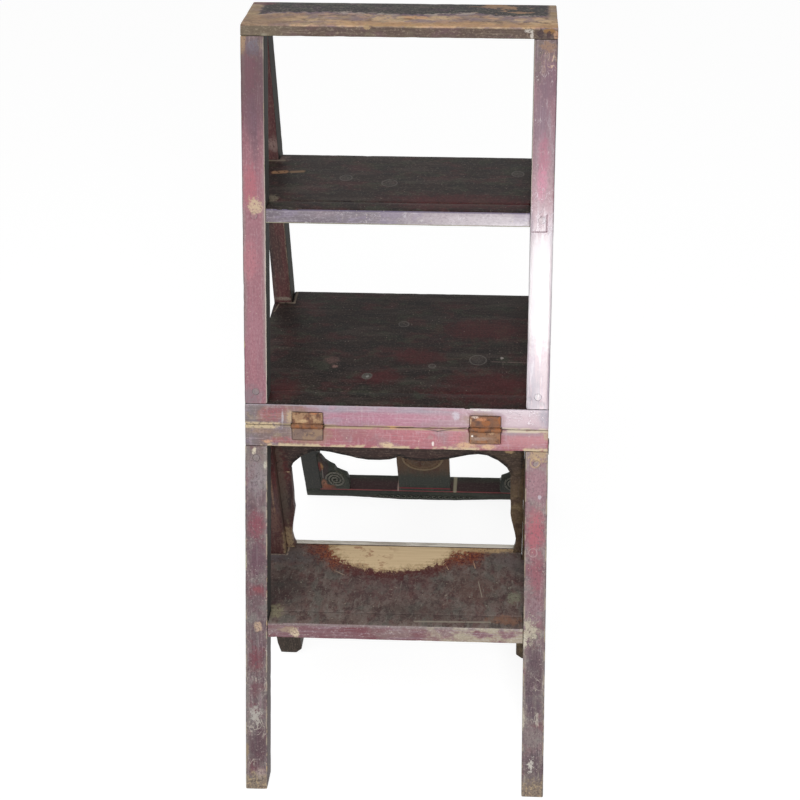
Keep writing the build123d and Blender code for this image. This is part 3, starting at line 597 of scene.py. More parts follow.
def tread_finish():
    """The steps' boards: brown-black lacquer with red in it, rings and scratches."""
    f = Finish("tread_lacquer", "2e2624", 0.5).worn()
    f.grit = f.noise(f.place, 360, 4, 0.74)
    bare = bare_wood(f)
    low = f.band(f.z, 0.26, 0.24)
    upper = f.rest(low)
    f.paint((upper, f.clouds(34, 50, 60, 0.4)), "4a2628", 50, 42)
    f.paint((upper, f.clouds(46, 50, 62, 5.2)), "3e4238", 55, 58)
    f.paint((upper, f.clouds(60, 50, 42, 8.6)), "1a1718", 60, 45)
    f.paint((upper, f.streaks(9, 60, 52, 66)), "524844", 35, 50)
    f.paint(low, "6c5c57", 98, 55)
    for scale, start, full, shift, colour, strength in [
        (38, 48, 60, 0.4, "644242", 55), (52, 48, 60, 6.3, "60645e", 50),
        (64, 48, 38, 8.6, "4a3e3d", 60), (100, 50, 60, 2.7, "7e726c", 50),
        (120, 48, 40, 5.9, "462e30", 45),
    ]:
        patches = f.clouds(scale, start, full, shift, 3.5, (0.8, 0.62, 1.0))
        f.paint((low, patches), colour, strength, 50)
    for x, y, wide, deep, colour, strength in [
        (-160, 175, 34, 30, "3a3232", 70), (-155, 240, 40, 14, "545456", 60),
        (30, 140, 50, 14, "46423e", 50), (165, 235, 30, 20, "605c5a", 50),
        (-20, 180, 60, 22, "604446", 40), (105, 185, 30, 22, "5c3e38", 45),
    ]:
        f.paint(f.spot(at(x, y, low_step), (wide, deep, 20), 0.9, 0.6), colour, strength, 50)
    hairlines(f, "685c58", 15)
    mottle(f, "1e1818", "7a6e64", 30)
    smears = f.noise(f.stretched(f.place, 260, 70, 70), 1, 4, 0.7)
    f.paint((low, f.band(smears, 0.56, 0.7)), "88847a", 50, 60)
    f.paint((low, f.specks(230, 67, 74)), "a49888", 60, 60)
    red = "542024"
    for x, y, z, wide, deep, high in [
        (-155, 285, seat, 24, 22, 20), (-30, 320, seat, 30, 16, 20), (20, 370, seat, 32, 18, 20),
        (120, 300, seat, 60, 36, 20), (110, 440, seat, 60, 24, 20), (80, 400, high_step, 90, 20, 20),
    ]:
        f.paint(f.spot(at(x, y, z), (wide, deep, high), 0.9, 0.5), red, 55, 42)
    chips(f, "968880", 210, 50, 86)
    ring_tone = "76706c"
    for x, y, z, radius in [
        (-45.9, 320.9, seat, 6.5), (40.6, 347.7, seat, 4.5), (103.2, 364.4, seat, 11.5),
        (-7, 452.3, seat, 7), (-77.4, 464.5, high_step, 8), (-17.8, 450.9, high_step, 10),
        (153.1, 483.8, high_step, 8),
    ]:
        f.paint(f.ring(at(x, y, z), radius, 1.6), ring_tone, 50, 60)
        f.paint(f.spot(at(x, y, z), (radius * 0.8, radius * 0.8, 10), 0.3, 0.5), ring_tone, 22, 60)
    pale = "968878"
    for x, y, to_x, to_y, z, width, colour, strength in [
        (-176, 478, -162, 480, high_step, 6.2, "aa8262", 80),
        (-153, 480, -138, 482, high_step, 4.6, "9e8064", 70),
        (122.6, 361.1, 172.5, 360, seat, 1.4, "705e5c", 70),
        (-196, 504.5, -174, 504.5, seat, 2.2, pale, 70),
        (-174.5, 505, -174.5, 538, seat, 2.2, pale, 60),
        (-197, 500, -200, 480, seat, 1.6, pale, 50),
        (-196, 514.5, -170, 515.5, high_step, 4, "88806c", 70),
        (-202, 244.5, -168, 244.5, low_step, 2.2, "b09c88", 70),
        (-167.5, 246, -167.5, 264, low_step, 2.2, "b09c88", 60),
        (26, 121.5, 128, 123.5, low_step, 2, "968e80", 70),
        (108.7, 202.5, 115.4, 170, low_step, 0.9, "a09686", 70),
        (60, 235, 66, 222, low_step, 1, "ceaa8c", 70), (100, 242, 104, 226, low_step, 1, "c8a082", 70),
        (-98, 216, -80, 206, low_step, 1, "b29c86", 60),
    ]:
        f.paint(f.scratch(at(x, y, z), at(to_x, to_y, z), width, 0.34), colour, strength, 60, -0.1)
    for x, y, z, wide, deep, high, colour in [
        (-167, 402, high_step, 8, 10, 10, "8c8270"), (-98.5, 357.4, seat, 10, 9, 10, "68524e"),
        (-92.4, 343, seat, 4, 4, 10, "967870"), (136.2, 370.7, seat, 2.4, 3, 10, "cec4be"),
        (-45.9, 320.9, seat, 6.6, 6.6, 10, "5c615a"),
        (-45.5, 320.5, seat, 1.8, 2.4, 10, "a0a09a"), (-176, 522, high_step, 12, 10, 10, "82706a"),
        (-166, 134, low_step, 12, 12, 10, "928c70"), (160, 170, low_step, 9, 10, 10, "848470"),
        (150, 128, low_step, 26, 8, 10, "866250"), (-190, 243, low_step, 18, 12, 10, "60585a"),
        (150, 242, low_step, 16, 10, 10, "706462"),
    ]:
        f.paint(f.spot(at(x, y, z), (wide, deep, high), 1.4, 0.3), colour, 70, 65, -0.05)
    comb = f.noise(f.stretched(f.place, 300, 60, 60), 1, 4, 0.7)
    wave = f.noise(f.stretched(f.place, 22, 1, 1), 1)
    far = f.plus(f.reach(at(-12, 275, low_step), (104, 57, 50), 0.3), f.times(comb, 0.14))
    far = f.plus(far, f.times(f.less(wave, 0.5), 0.5))
    f.paint(f.band(far, 1.46, 1.16), "542224", 75, 50)
    fringe = f.times(f.band(far, 1.52, 1.14), f.band(f.far(f.plus(f.x, 0.012)), 0.05, 0.1))
    f.paint((fringe, f.band(f.grit, 0.46, 0.54)), "9e5838", 80, 60, -0.1)
    f.paint((f.band(far, 1.3, 1.1), f.band(f.grit, 0.56, 0.62)), "bea082", 70, 60, -0.1)
    f.paint(f.band(far, 1.12, 1.04), bare, 100, 70, -0.3)
    f.paint(f.band(far, 1.06, 0.86), "ead0a8", 70, 70)
    wedge = f.spot(at(118, 272, low_step), (60, 14, 20), 0.5, 0.2)
    f.paint(wedge, "c4a67c", 85, 70, -0.2)
    stained = f.times(f.band(f.x, 0.0, -0.04), f.clouds(110, 54, 62, 4.4))
    f.paint((f.band(far, 1.05, 0.95), stained), "965c46", 60, 70)
    rub_edges(f, 1.6, bare, 56, 70)
    return f.done(0.1)


def top_finish():
    """The top board: worn to bare wood in front, with black lacquer left behind."""
    f = Finish("top_wood", "9e866e", 0.6).worn()
    bare = bare_wood(f)
    f.paint(f.streaks(8, 90, 40, 60), bare, 55)
    f.paint(f.streaks(7, 40, 46, 62), "968284", 60)
    rear = f.plus(f.less(f.y, feet_y), f.times(f.less(f.ragged, 0.5), 0.022))
    wave = f.noise(f.stretched(f.place, 14, 1, 1), 1)
    rear = f.plus(rear, f.times(f.less(wave, 0.5), 0.034))
    inside = f.times(f.torn(f.x, -0.186, -0.178, 0.008), f.torn(f.x, 0.192, 0.184, 0.008))
    f.paint((inside, f.band(rear, 0.511, 0.522)), "624e68", 85, 55)
    black = f.times(inside, f.band(rear, 0.523, 0.527))
    f.paint(black, "1e1b1f", 100, 50, 0.2)
    f.paint((black, f.clouds(70, 50, 62, 3.3)), "4e524c", 65, 60)
    f.paint((black, f.clouds(54, 50, 40, 6.2)), "0e0c10", 80, 50)
    f.paint((black, f.clouds(60, 52, 64, 7.1)), "3c2838", 70, 50)
    f.paint((black, f.specks(300, 60, 68)), "80786c", 50, 60)
    f.paint((black, f.band(f.x, 0.06, 0.12), f.streaks(30, 60, 54, 60)), "b08c6e", 80, 60, -0.2)
    near_black = f.times(f.band(rear, 0.517, 0.523), f.band(rear, 0.53, 0.525))
    f.paint((inside, near_black, f.clouds(50, 46, 56, 1.7)), "cebeb2", 70, 60)
    worn_front = f.band(rear, 0.524, 0.518)
    for scale, start, full, shift, colour, strength in [
        (42, 46, 56, 0.6, "e4c49c", 70), (60, 48, 58, 4.4, "8a7682", 70),
        (80, 50, 58, 8.1, "cea486", 50), (110, 54, 62, 2.2, "6c544c", 70),
    ]:
        f.paint((worn_front, f.clouds(scale, start, full, shift)), colour, strength, 60)
    f.paint((worn_front, f.torn(f.x, -0.1, -0.17, 0.03)), "967a64", 60, 60)
    f.paint(f.spot(at(20, 512, top_step), (16, 6, 10), 0.9), "e2b084", 80, 60)
    f.paint(f.spot(at(10, 506, top_step), (6, 3, 10), 0.9), "805c42", 80, 60)
    front_edge = f.times(f.torn(rear, 0.5, 0.488, 0.006), f.band(f.z, 0.8995, 0.9))
    f.paint((front_edge, f.torn(f.x, -0.12, -0.05, 0.03)), "cea070", 60, 60)
    f.paint(f.spot(at(-183, 560, top_step), (16, 6, 10), 0.8), "5c2834", 80, 50)
    face = f.band(f.z, 0.8992, 0.8975)
    f.paint(face, "5a4b44", 96, 50)
    f.paint((face, f.clouds(44, 46, 62, 6.6)), "6c525a", 60)
    f.paint((face, f.clouds(64, 52, 64, 9.9)), "746a58", 50, 60)
    f.paint((face, f.torn(f.x, -0.11, -0.16, 0.03)), "7a6e5c", 70, 60)
    hairlines(f, "c8b8a0", 15)
    mottle(f, "544642", "cebca4", 24)
    rub_edges(f, 1.6, bare, 52)
    for x, z, wide, high, colour in [
        (163.5, 896.2, 6, 2, "cec6bc"), (167, 891.5, 2.2, 5, "cec6bc"),
        (-40, 898.5, 4, 3, "b09674"), (197, 893, 3, 8, "be967a"), (189, 896.5, 9, 3, "967046"),
        (178, 893, 4, 6, "46383c"), (188, 892, 3, 5, "4a383c"), (-170, 888.5, 4, 2.4, "968e7e"),
    ]:
        f.paint(f.spot(on_face(x, z), (wide, 6, high), 1.0), colour, 85, 60, -0.1)
    f.paint((face, f.band(f.z, 0.8885, 0.8878)), "68684e", 70, 60)
    below = f.band(f.front, -0.5, -0.8)
    f.paint(below, "3c302c", 100, 70)
    f.paint((below, f.streaks(7, 60, 46, 62)), "4e3a32", 100, 70)
    return f.done(0.15)


def dark_finish():
    """Legs, posts, strips and apron: plum-brown lacquer, rubbed pale at the edges, with shade painted
    below the seat, along the apron's lower edge and on the posts' sides.
    """
    f = Finish("dark_lacquer", "4c3836", 0.5).worn()
    bare = bare_wood(f)
    f.paint(f.streaks(6, 50, 46, 64), "5c3a3a")
    f.paint(f.streaks(5, 36, 50, 34), "342c2c")
    f.paint(f.streaks(9, 40, 54, 70, 6), "544a4e", 60, 55)
    post = f.band(f.y, at(0, 450, 0).y, at(0, 460, 0).y)
    f.paint((post, f.torn(f.z, 0.66, 0.74, 0.05)), "603236", 50, 45)
    # Below the seat the posts are painted near black: painted shade under the seat.
    shaded_below_seat = f.times(post, f.band(f.z, 0.46, 0.44))
    f.paint(shaded_below_seat, "2c2e2c", 85, 45)
    leg = f.rest(post)
    f.paint((leg, f.torn(f.z, 0.3, 0.25, 0.04)), "543432", 70)
    f.paint((leg, f.band(f.z, 0.08, 0.05)), "3e3830", 90, 60)
    right_leg = f.times(leg, f.band(f.x, 0.1, 0.14))
    f.paint(right_leg, "645440", 80, 55)
    f.paint((right_leg, f.clouds(60, 48, 60, 2.9)), "887658", 65, 60)
    f.paint((right_leg, f.clouds(70, 50, 62, 6.1)), "40302a", 60, 50)
    apron = f.times(leg, f.band(f.z, 0.34, 0.38))
    f.paint(apron, "3a2f2b", 75, 50)
    # Along the apron's lower edge, a black band: painted shade.
    apron_edge_shade = f.times(f.band(f.edge, 0.006, 0.0035), f.band(f.z, 0.418, 0.412))
    f.paint((apron, apron_edge_shade), "141211", 90, 50)
    hairlines(f, "806c64", 24)
    mottle(f, "281e1e", "887468", 34)
    red = "602224"
    for x, y, z, wide, deep, high in [
        (-166, 259, 360, 12, 30, 40), (-160, 259, 412, 20, 30, 8), (-20, 259, 410, 70, 30, 7),
        (120, 259, 410, 30, 30, 8),
    ]:
        f.paint(f.spot(at(x, y, z), (wide, deep, high), 0.9, 0.5), red, 60, 45)
    for x, y, z, wide, deep, high, colour in [
        (-166, 266, 330, 7, 20, 80, "60564c"), (-165, 250, 228, 8, 20, 26, "aa9474"),
        (-180, 247, 275, 6, 10, 22, "6c5048"), (-178, 247, 352, 1.4, 10, 60, "8c705c"),
        (150, 259, 400, 6, 20, 4, "bea078"), (172, 252, 330, 6, 20, 80, "68543c"),
        (-176, 515, 486, 4, 20, 14, "968c7c"), (-178, 512, 560, 2.4, 10, 70, "968a76"),
        (-182, 520, 720, 14, 12, 10, "8c7670"), (-188, 515, 480, 18, 20, 3, "8c8274"),
        (-175.5, 592, 88, 4.5, 20, 10, "885434"),
    ]:
        f.paint(f.spot(at(x, y, z), (wide, deep, high), 1.3, 0.3), colour, 75, 60, -0.1)
    chips(f, "968476", 210, 50, 84)
    # The painted shade below the seat is deepened.
    f.paint(shaded_below_seat, "1a201b", 60)
    rub_edges(f, 1.6, bare, 56, 60)
    # The posts' sides are painted near black as painted shade.
    f.paint((post, f.band(f.far(f.side), 0.7, 0.9)), "1c1e18", 92, 70)
    return f.done(0.2)


def back_finish():
    """The chair's back: greenish black, brown and red, with rubbed lines and highlights painted on the
    carving.
    """
    f = Finish("back_lacquer", "2e312b", 0.45).worn()
    bare = bare_wood(f)
    f.paint(f.streaks(8, 50, 46, 62), "3e4138")
    f.paint(f.streaks(7, 40, 54, 68), "382828")
    top = f.times(f.band(f.far(f.side), 0.6, 0.9), f.band(f.z, 0.034, 0.03))
    f.paint(top, "3e2a2c", 90, 40)
    splat = f.times(f.band(f.far(f.x), 0.047, 0.045), f.band(f.z, 0.04, 0.044))
    f.paint(splat, "3c3e38", 80)
    brown = f.times(splat, f.torn(f.z, 0.06, 0.1, 0.015))
    f.paint(brown, "664e3c", 90, 45)
    f.paint((brown, f.streaks(8, 60, 46, 60)), "4e2c26", 60)
    hairlines(f, "5c5850", 22)
    mottle(f, "1a1a18", "68645c", 30)
    # On the carving, pale rubbed lacquer that is also a painted highlight on the ridges; on the
    # crest's scrolls, a paler painted highlight.
    carved = f.times(f.band(f.edge, 0.5, 0.9), f.band(f.front, 0.2, 0.7))
    rubbed = f.times(carved, f.rest(brown), f.band(f.grit, 0.36, 0.54))
    f.paint(rubbed, "7e7a70", 80, 50)
    f.paint((carved, f.band(f.z, 0.032, 0.028)), "64685e", 60, 50)
    front = f.band(f.front, 0.2, 0.7)
    # Pale rings on the medallion's beads as painted highlights.
    for radius, width, colour, strength in [
        (33.6, 4.2, "968266", 75), (27.6, 2.6, "806852", 60),
    ]:
        mark = f.times(front, f.ring(on_back(0, 126.5, 1), radius, width))
        f.paint(mark, colour, strength, 50)
    for start, end, width, colour, strength in [
        (on_back(-185, 27), on_back(190, 27), 1.8, "965254", 85),
        (on_back(-46, 35.5), on_back(46, 35.5), 2, "862c38", 90),
        (on_back(-47.5, 27.5, -1), on_back(-47.5, 27.5, -30), 2.2, "bca096", 80),
        (on_back(53, 27.5, -1), on_back(53, 27.5, -32), 4.2, "a8a088", 80),
        (on_back(-177.5, 60), on_back(-176.2, 86), 1.2, "8c827e", 60),
    ]:
        f.paint(f.scratch(start, end, width, 0.22), colour, strength, 50, 0.05)
    for x, up, wide, high, colour in [
        (-176.5, 94, 3.2, 9, "a67c54"), (-180.5, 93, 3, 11, "682424"),
        (-176.5, 41, 4.5, 13, "a8745c"), (-170, 34, 10, 6, "88503e"),
    ]:
        f.paint(f.spot(on_back(x, up), (wide, 20, high), 0.9, 0.4), colour, 85, 55, -0.05)
    chips(f, "807868", 210, 50, 88)
    rub_edges(f, 1.2, "7a6c58", 52, 70)
    return f.done(0.12)


def under_finish():
    """Rails and panel under the steps: dull dark lacquer; the rear rail's lip is rubbed pale."""
    f = Finish("under_lacquer", "42342e", 0.7).worn()
    f.paint(f.streaks(6, 50, 46, 64), "523e34")
    f.paint(f.streaks(5, 36, 50, 34), "302824")
    hairlines(f, "6e5e50", 20)
    mottle(f, "261e1c", "78685a", 30)
    rub_edges(f, 1.4, bare_wood(f), 54, 60)
    rear_top = f.times(f.band(f.z, 0.211, 0.2116), f.band(f.z, 0.22, 0.215))
    lip = f.times(rear_top, f.band(f.front, 0.6, 0.9))
    f.paint(lip, "e2dcd0", 95, 70)
    f.paint((lip, f.streaks(16, 90, 50, 62)), "968878", 50, 70)
    return f.done(0.2)


def rust():
    """Forged iron, rusted brown, tan at its worn rim; the left hinge is lacquered over."""
    f = Finish("rusted_iron", "744e38", 0.62)
    cloud = f.noise(f.place, 160, 6, 0.7)
    broad = f.noise(f.place, 85, 4, 0.6)
    f.paint(f.band(broad, 0.5, 0.58), "98603a", 100, 75, 0.3)
    f.paint(f.band(broad, 0.46, 0.38), "5c3e32", 100, 60, -0.2)
    f.paint(f.band(cloud, 0.5, 0.62), "8c6246", 70, 75, 0.3)
    f.paint(f.band(cloud, 0.44, 0.34), "3e2e2a", 80, 50, -0.4)
    upper = f.band(f.z, 0.4525, 0.4545)
    lower = f.band(f.z, 0.4475, 0.4455)
    left = f.band(f.x, 0.0, -0.02)
    f.paint((lower, f.band(cloud, 0.4, 0.54)), "8c6c54", 60, 60)
    f.paint((left, upper, f.band(broad, 0.46, 0.54)), "9e8062", 80, 60)
    f.paint((left, upper, f.band(cloud, 0.54, 0.6)), "ba9874", 55, 60, 0.1)
    f.paint((left, lower), "76625a", 85, 50)
    f.paint((left, lower, f.band(broad, 0.5, 0.58)), "8e745c", 80, 50)
    f.paint((left, lower, f.band(cloud, 0.46, 0.38)), "604c48", 80, 50)
    # Pale and white marks on the leaves: worn rust, and painted highlights on their edges.
    for x, z, wide, high, colour in [
        (104, 465, 5, 1.6, "d6beb0"), (112, 462, 6, 2.2, "b0744c"),
        (100, 442.5, 1.5, 1.1, "f0eae2"), (112, 439.5, 13, 2, "8e766a"),
        (96, 459, 2.6, 4, "ba9e80"), (125, 446, 3, 1.6, "b08c68"), (-108, 466, 5, 2.2, "b06c42"),
        (-122, 456, 5, 1.8, "bea078"),
    ]:
        f.paint(f.spot(on_face(x, z), (wide, 20, high), 0.9, 0.4), colour, 85, 45)
    return f.done(0.5, 0.2)


def meets_tread(node, low, high, a, b):
    """Whether an edge lies in the closed joint between a step's board and the rail before it."""
    if node in ("lower_step_board", "seat_board", "upper_step_board"):
        return max(a.y, b.y) < low.y + 0.003
    if node in ("lower_step_rail", "upper_step_rail", "upper_hinge_rail"):
        return min(a.z, b.z) > high.z - 0.002 and min(a.y, b.y) > low.y + (high.y - low.y) * 0.6
    return False


def lines_of(node, mesh, along, all_round, shortest):
    """Of the sharp edges, keep those that run with the grain, or all of them; give their ends."""
    ends = []
    low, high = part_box(node)
    for edge in mesh.edges:
        if not edge.select:
            continue
        a, b = (mesh.vertices[i].co.copy() for i in edge.vertices)
        crossing = abs((b - a).normalized().dot(along)) < 0.85
        short = (b - a).length < shortest
        if short or (crossing and not all_round) or meets_tread(node, low, high, a, b):
            edge.select = False
            continue
        ends.append((a, b))
    return ends


def nearest_line(points, ends):
    """Each point's distance from the nearest of some straight lines."""
    nearest = np.full(len(points), 1.0)
    for a, b in ends:
        a, run = np.array(a), np.array(b - a)
        share = np.clip((points - a) @ run / (run @ run), 0, 1)
        nearest = np.minimum(nearest, np.linalg.norm(points - a - share[:, None] * run, axis=1))
    return nearest


def bare_copy(node):
    """A copy of a CAD piece, open for editing, with flat faces in place of triangles."""
    piece = bpy.data.objects.new(node + "_wood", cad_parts[node].data.copy())
    bpy.context.scene.collection.objects.link(piece)
    piece.data.materials.clear()
    edit(piece)
    bpy.ops.mesh.customdata_custom_splitnormals_clear()
    bpy.ops.mesh.remove_doubles(threshold=weld)
    bpy.ops.mesh.dissolve_limited(angle_limit=math.radians(0.5))
    return piece


def worn_piece(node, along, out, finish, slot, body, turn):
    """A CAD piece's wood with rounded edges, hollows and dents, and what its finish reads."""
    piece = bare_copy(node)
    bpy.ops.mesh.select_mode(type="EDGE")
    bpy.ops.mesh.select_all(action="DESELECT")
    bpy.ops.mesh.edges_select_sharp(sharpness=math.radians(25))
    close()
    # Thin or carved pieces have their edges only just broken
    small = node.startswith(("apron_strip", "front_apron", "scroll_bracket"))
    ends = lines_of(node, piece.data, along, small or "board" in node, 0 if small else 0.005)
    bpy.ops.object.mode_set(mode="EDIT")
    bpy.ops.mesh.bevel(offset=fine_arris if small else arris, segments=3, clamp_overlap=small)
    bpy.ops.mesh.select_mode(type="VERT")
    corners = np.array([v.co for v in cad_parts[node].data.vertices])
    for way in (along, along.cross(out), out):
        reach = corners @ np.array(way)
        count = int((reach.max() - reach.min()) / division)
        for step in range(1, count + 1):
            far = reach.min() + (reach.max() - reach.min()) * step / (count + 1)
            bpy.ops.mesh.select_all(action="SELECT")
            bpy.ops.mesh.bisect(plane_co=way * far, plane_no=way)
    close()
    dress(piece, along, out, ends, turn)
    hand_over(piece, finish, body)
    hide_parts(node)


def hand_over(piece, finish, body):
    """Finish a piece; a rail's upper and hidden sides have lacquers of their own."""
    for material in finish:
        piece.data.materials.append(material)
    if len(finish) > 1:
        for face, store in zip(piece.data.polygons, piece.data.attributes["facing"].data):
            if face.normal.z > 0.7:
                face.material_index = 1
            elif store.vector[2] < 0.6:
                face.material_index = 2
    activate(piece)
    bpy.ops.object.shade_smooth_by_angle(angle=math.radians(32))
    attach(piece, body)


def lacquer_over(node, along, out, finish, slot, body, turn):
    """Pegs or nails that are lacquered over with the wood they sit in."""
    piece = bare_copy(node)
    close()
    dress(piece, along, out, [], turn)
    hand_over(piece, finish, body)
    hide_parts(node)


def dress(piece, along, out, ends, turn):
    """Wear a piece's surface, and give it its grain, its nearest edge and its facing."""
    mesh = piece.data
    across = along.cross(out)
    points = np.array([v.co for v in mesh.vertices])
    normals = [v.normal.copy() for v in mesh.vertices]
    edge = nearest_line(points, ends)
    for vertex, normal, far in zip(mesh.vertices, normals, edge):
        p = vertex.co
        sunk = hollow * (0.5 + 0.5 * noise.noise(p * 28))
        if far < arris * 1.5:
            sunk += dent * max(0.0, noise.noise(p * 95) - 0.15)
        vertex.co = p - normal * sunk
    centre = (points.min(0) + points.max(0)) / 2
    axes = np.array([along, across, out])
    grain = (points - centre) @ axes.T + np.array([turn * 0.37, 0, 0])
    facing = np.array([axes @ np.array(face.normal) for face in mesh.polygons])
    for name, kind, domain, field, values in [
        ("grain", "FLOAT_VECTOR", "POINT", "vector", grain),
        ("edge", "FLOAT", "POINT", "value", edge),
        ("facing", "FLOAT_VECTOR", "FACE", "vector", facing),
    ]:
        store = mesh.attributes.new(name, kind, domain)
        store.data.foreach_set(field, values.astype(np.float32).ravel())


def build_wood():
    """Every wooden piece, worn and lacquered."""
    stile, dark = ([rose_stile()], "red_lacquer"), ([dark_finish()], "dark_lacquer")
    under, back = ([under_finish()], "under_lacquer"), ([back_finish()], "back_lacquer")
    tread, top = ([tread_finish()], "tread_wood"), ([top_finish()], "top_wood")
    rose = rose_rail()
    step_rail = [step_rail_finish(), *tread[0], *under[0]], "red_lacquer"
    climbing, level = (ACROSS, CLIMB_OUT), (ACROSS, UP)
    front, rear = "front_half", "rear_half"
    pieces = [
        ("lower_hinge_rail", *climbing, [rose, rose, *under[0]], "red_lacquer", front),
        ("upper_hinge_rail", *climbing, [rose, *tread[0], *under[0]], "red_lacquer", rear),
        ("lower_step_rail", *climbing, *step_rail, front),
        ("upper_step_rail", *climbing, *step_rail, rear),
        ("front_apron", ACROSS, TOWARDS, *dark, front),
        ("lower_rear_rail", *level, *under, front),
        ("upper_rear_rail", *level, *under, rear),
        ("seat_rear_rail", *level, *under, rear),
        ("seat_panel", *level, *under, rear),
        ("lower_step_board", *level, *tread, front),
        ("seat_board", *level, *tread, rear),
        ("upper_step_board", *level, *tread, rear),
        ("top_board", *level, *top, rear),
        ("crest_rail", ACROSS, BACK_OUT, *back, rear),
        ("back_splat", BACK_UP, BACK_OUT, *back, rear),
    ]
    for side in ("left", "right"):
        pieces += [
            (f"lower_stile_{side}", CLIMB_UP, CLIMB_OUT, *stile, front),
            (f"upper_stile_{side}", CLIMB_UP, CLIMB_OUT, *stile, rear),
            (f"front_leg_{side}", UP, TOWARDS, *dark, front),
            (f"rear_post_{side}", UP, TOWARDS, *dark, rear),
            (f"apron_strip_{side}", UP, TOWARDS, *dark, front),
            (f"lower_side_rail_{side}", AWAY, ACROSS, *under, front),
            (f"upper_side_rail_{side}", AWAY, ACROSS, *under, rear),
            (f"seat_side_rail_{side}", AWAY, ACROSS, *under, rear),
            (f"scroll_bracket_{side}", BACK_UP, BACK_OUT, *back, rear),
        ]
    for turn, piece in enumerate(pieces):
        worn_piece(*piece, turn)
    for turn, piece in enumerate([
        ("lower_stile_pegs", CLIMB_UP, CLIMB_OUT, stile[0], "peg_wood", front),
        ("upper_stile_pegs", CLIMB_UP, CLIMB_OUT, stile[0], "peg_wood", rear),
        ("lower_step_nails", *level, tread[0], "iron", front),
        ("seat_board_nails", *level, tread[0], "iron", rear),
        ("upper_step_nails", *level, tread[0], "iron", rear),
        ("top_board_nails", *level, top[0], "iron", rear),
    ]):
        lacquer_over(*piece, turn)
    carve_back(back[0])


def carve_back(finish):
    """The carving on the chair's back: a round medallion, two spirals and a row of scrolls."""
    carved = [medallion()]
    for side in (-1, 1):
        carved.append(spiral(f"spiral_{'left' if side < 0 else 'right'}", side))
    carved.append(crest_scrolls())
    for turn, piece in enumerate(carved):
        dress(piece, BACK_UP, BACK_OUT, [], turn)
        hand_over(piece, finish, "rear_half")


def lay_on_back(piece, x, up, out):
    """Stand a piece that was made flat on the ground against the front of the back."""
    turn = Matrix((ACROSS, BACK_UP, BACK_OUT)).transposed().to_4x4()
    piece.matrix_world = Matrix.Translation(on_back(x, up, out)) @ turn
    activate(piece)
    settle()


def medallion():
    """A round medallion: a double bead round a flower of eight petals."""
    bpy.ops.object.select_all(action="DESELECT")
    bpy.ops.mesh.primitive_cylinder_add(vertices=96, radius=0.0360, depth=0.003)
    piece = bpy.context.active_object
    piece.name = "medallion"
    edit(piece)
    bpy.ops.mesh.select_mode(type="FACE")
    bpy.ops.mesh.select_all(action="DESELECT")
    close()
    for face in piece.data.polygons:
        face.select = face.normal.z > 0.9
    bpy.ops.object.mode_set(mode="EDIT")
    for inward, rise in [
        (0.6, 1), (0.9, 0.7), (1, 0.2), (1, -0.2), (0.9, -0.7), (0.6, -1), (1, 0), (0.6, 0.6),
        (0.6, 0), (0.6, -0.6), (4, -0.4), (12, 0),
    ]:
        bpy.ops.mesh.inset(thickness=inward / 1000, depth=0)
        bpy.ops.transform.translate(value=(0, 0, rise / 1000))
    close()
    petal_ring = 0.0125
    for petal in range(8):
        angle = math.radians(45 * petal)
        bpy.ops.mesh.primitive_uv_sphere_add(segments=20, ring_count=12, radius=1)
        leaf = bpy.context.active_object
        leaf.scale = (0.0095, 0.0042, 0.0022)
        leaf.rotation_euler = (0, 0, angle)
        leaf.location = (petal_ring * math.cos(angle), petal_ring * math.sin(angle), 0.0008)
        settle()
        join_to(piece)
    bpy.ops.mesh.primitive_uv_sphere_add(segments=20, ring_count=12, radius=0.0045)
    bpy.context.active_object.scale = (1, 1, 0.7)
    settle(place=False)
    join_to(piece)
    lay_on_back(piece, 0, 126.5, 0.4)
    return piece


def bead(name, turns, thickness, sides):
    """A round bead bent through arcs, each with its middle, its turn and its number of steps."""
    start = turns[0][0]
    bpy.ops.object.select_all(action="DESELECT")
    bpy.ops.mesh.primitive_circle_add(vertices=sides, radius=thickness, fill_type="NGON",
                                      location=start, rotation=(math.radians(90), 0, 0))
    piece = bpy.context.active_object
    piece.name = name
    settle()
    edit(piece)
    for _, middle, angle, steps in turns:
        bpy.ops.mesh.spin(steps=steps, angle=math.radians(angle), center=middle, axis=(0, 0, 1))
    bpy.ops.mesh.select_all(action="SELECT")
    bpy.ops.mesh.remove_doubles(threshold=weld)
    bpy.ops.mesh.normals_make_consistent(inside=False)
    close()
    return piece


def spiral(name, side):
    """The spiral of a bracket, wound inwards in half turns and drawn out along the post."""
    radii = [0.0154, 0.0127, 0.0100, 0.0073, 0.0046, 0.0022]
    start = Vector((side * radii[0], 0, 0))
    turns, edge = [], side * radii[0]
    for index, radius in enumerate(radii):
        way = side if index % 2 == 0 else -side
        middle = edge - way * radius
        turns.append((start, (middle, 0, 0), 180, 14))
        edge = middle - way * radius
    piece = bead(name, turns, 0.0020, 10)
    piece.scale = (1, 1.26, 1)
    activate(piece)
    settle(place=False)
    lay_on_back(piece, side * 157, 57, 0.3)
    return piece


def crest_scrolls():
    """A row of small scrolls along the crest, turned outwards from the middle."""
    whole = None
    for step in range(8):
        for side in (-1, 1):
            start = Vector((0.0038, 0, 0))
            turns = [(start, (0, 0, 0), 200, 12), (start, (-0.0016, 0, 0), 120, 8)]
            piece = bead("crest_scrolls", turns, 0.0010, 8)
            if side < 0:
                piece.scale = (-1, 1, 1)
                settle()
                edit(piece)
                bpy.ops.mesh.normals_make_consistent(inside=False)
                close()
            lay_on_back(piece, side * (5.5 + 11 * step), 11.5, 0.4)
            if whole:
                join_to(whole)
            else:
                whole = piece
    return whole


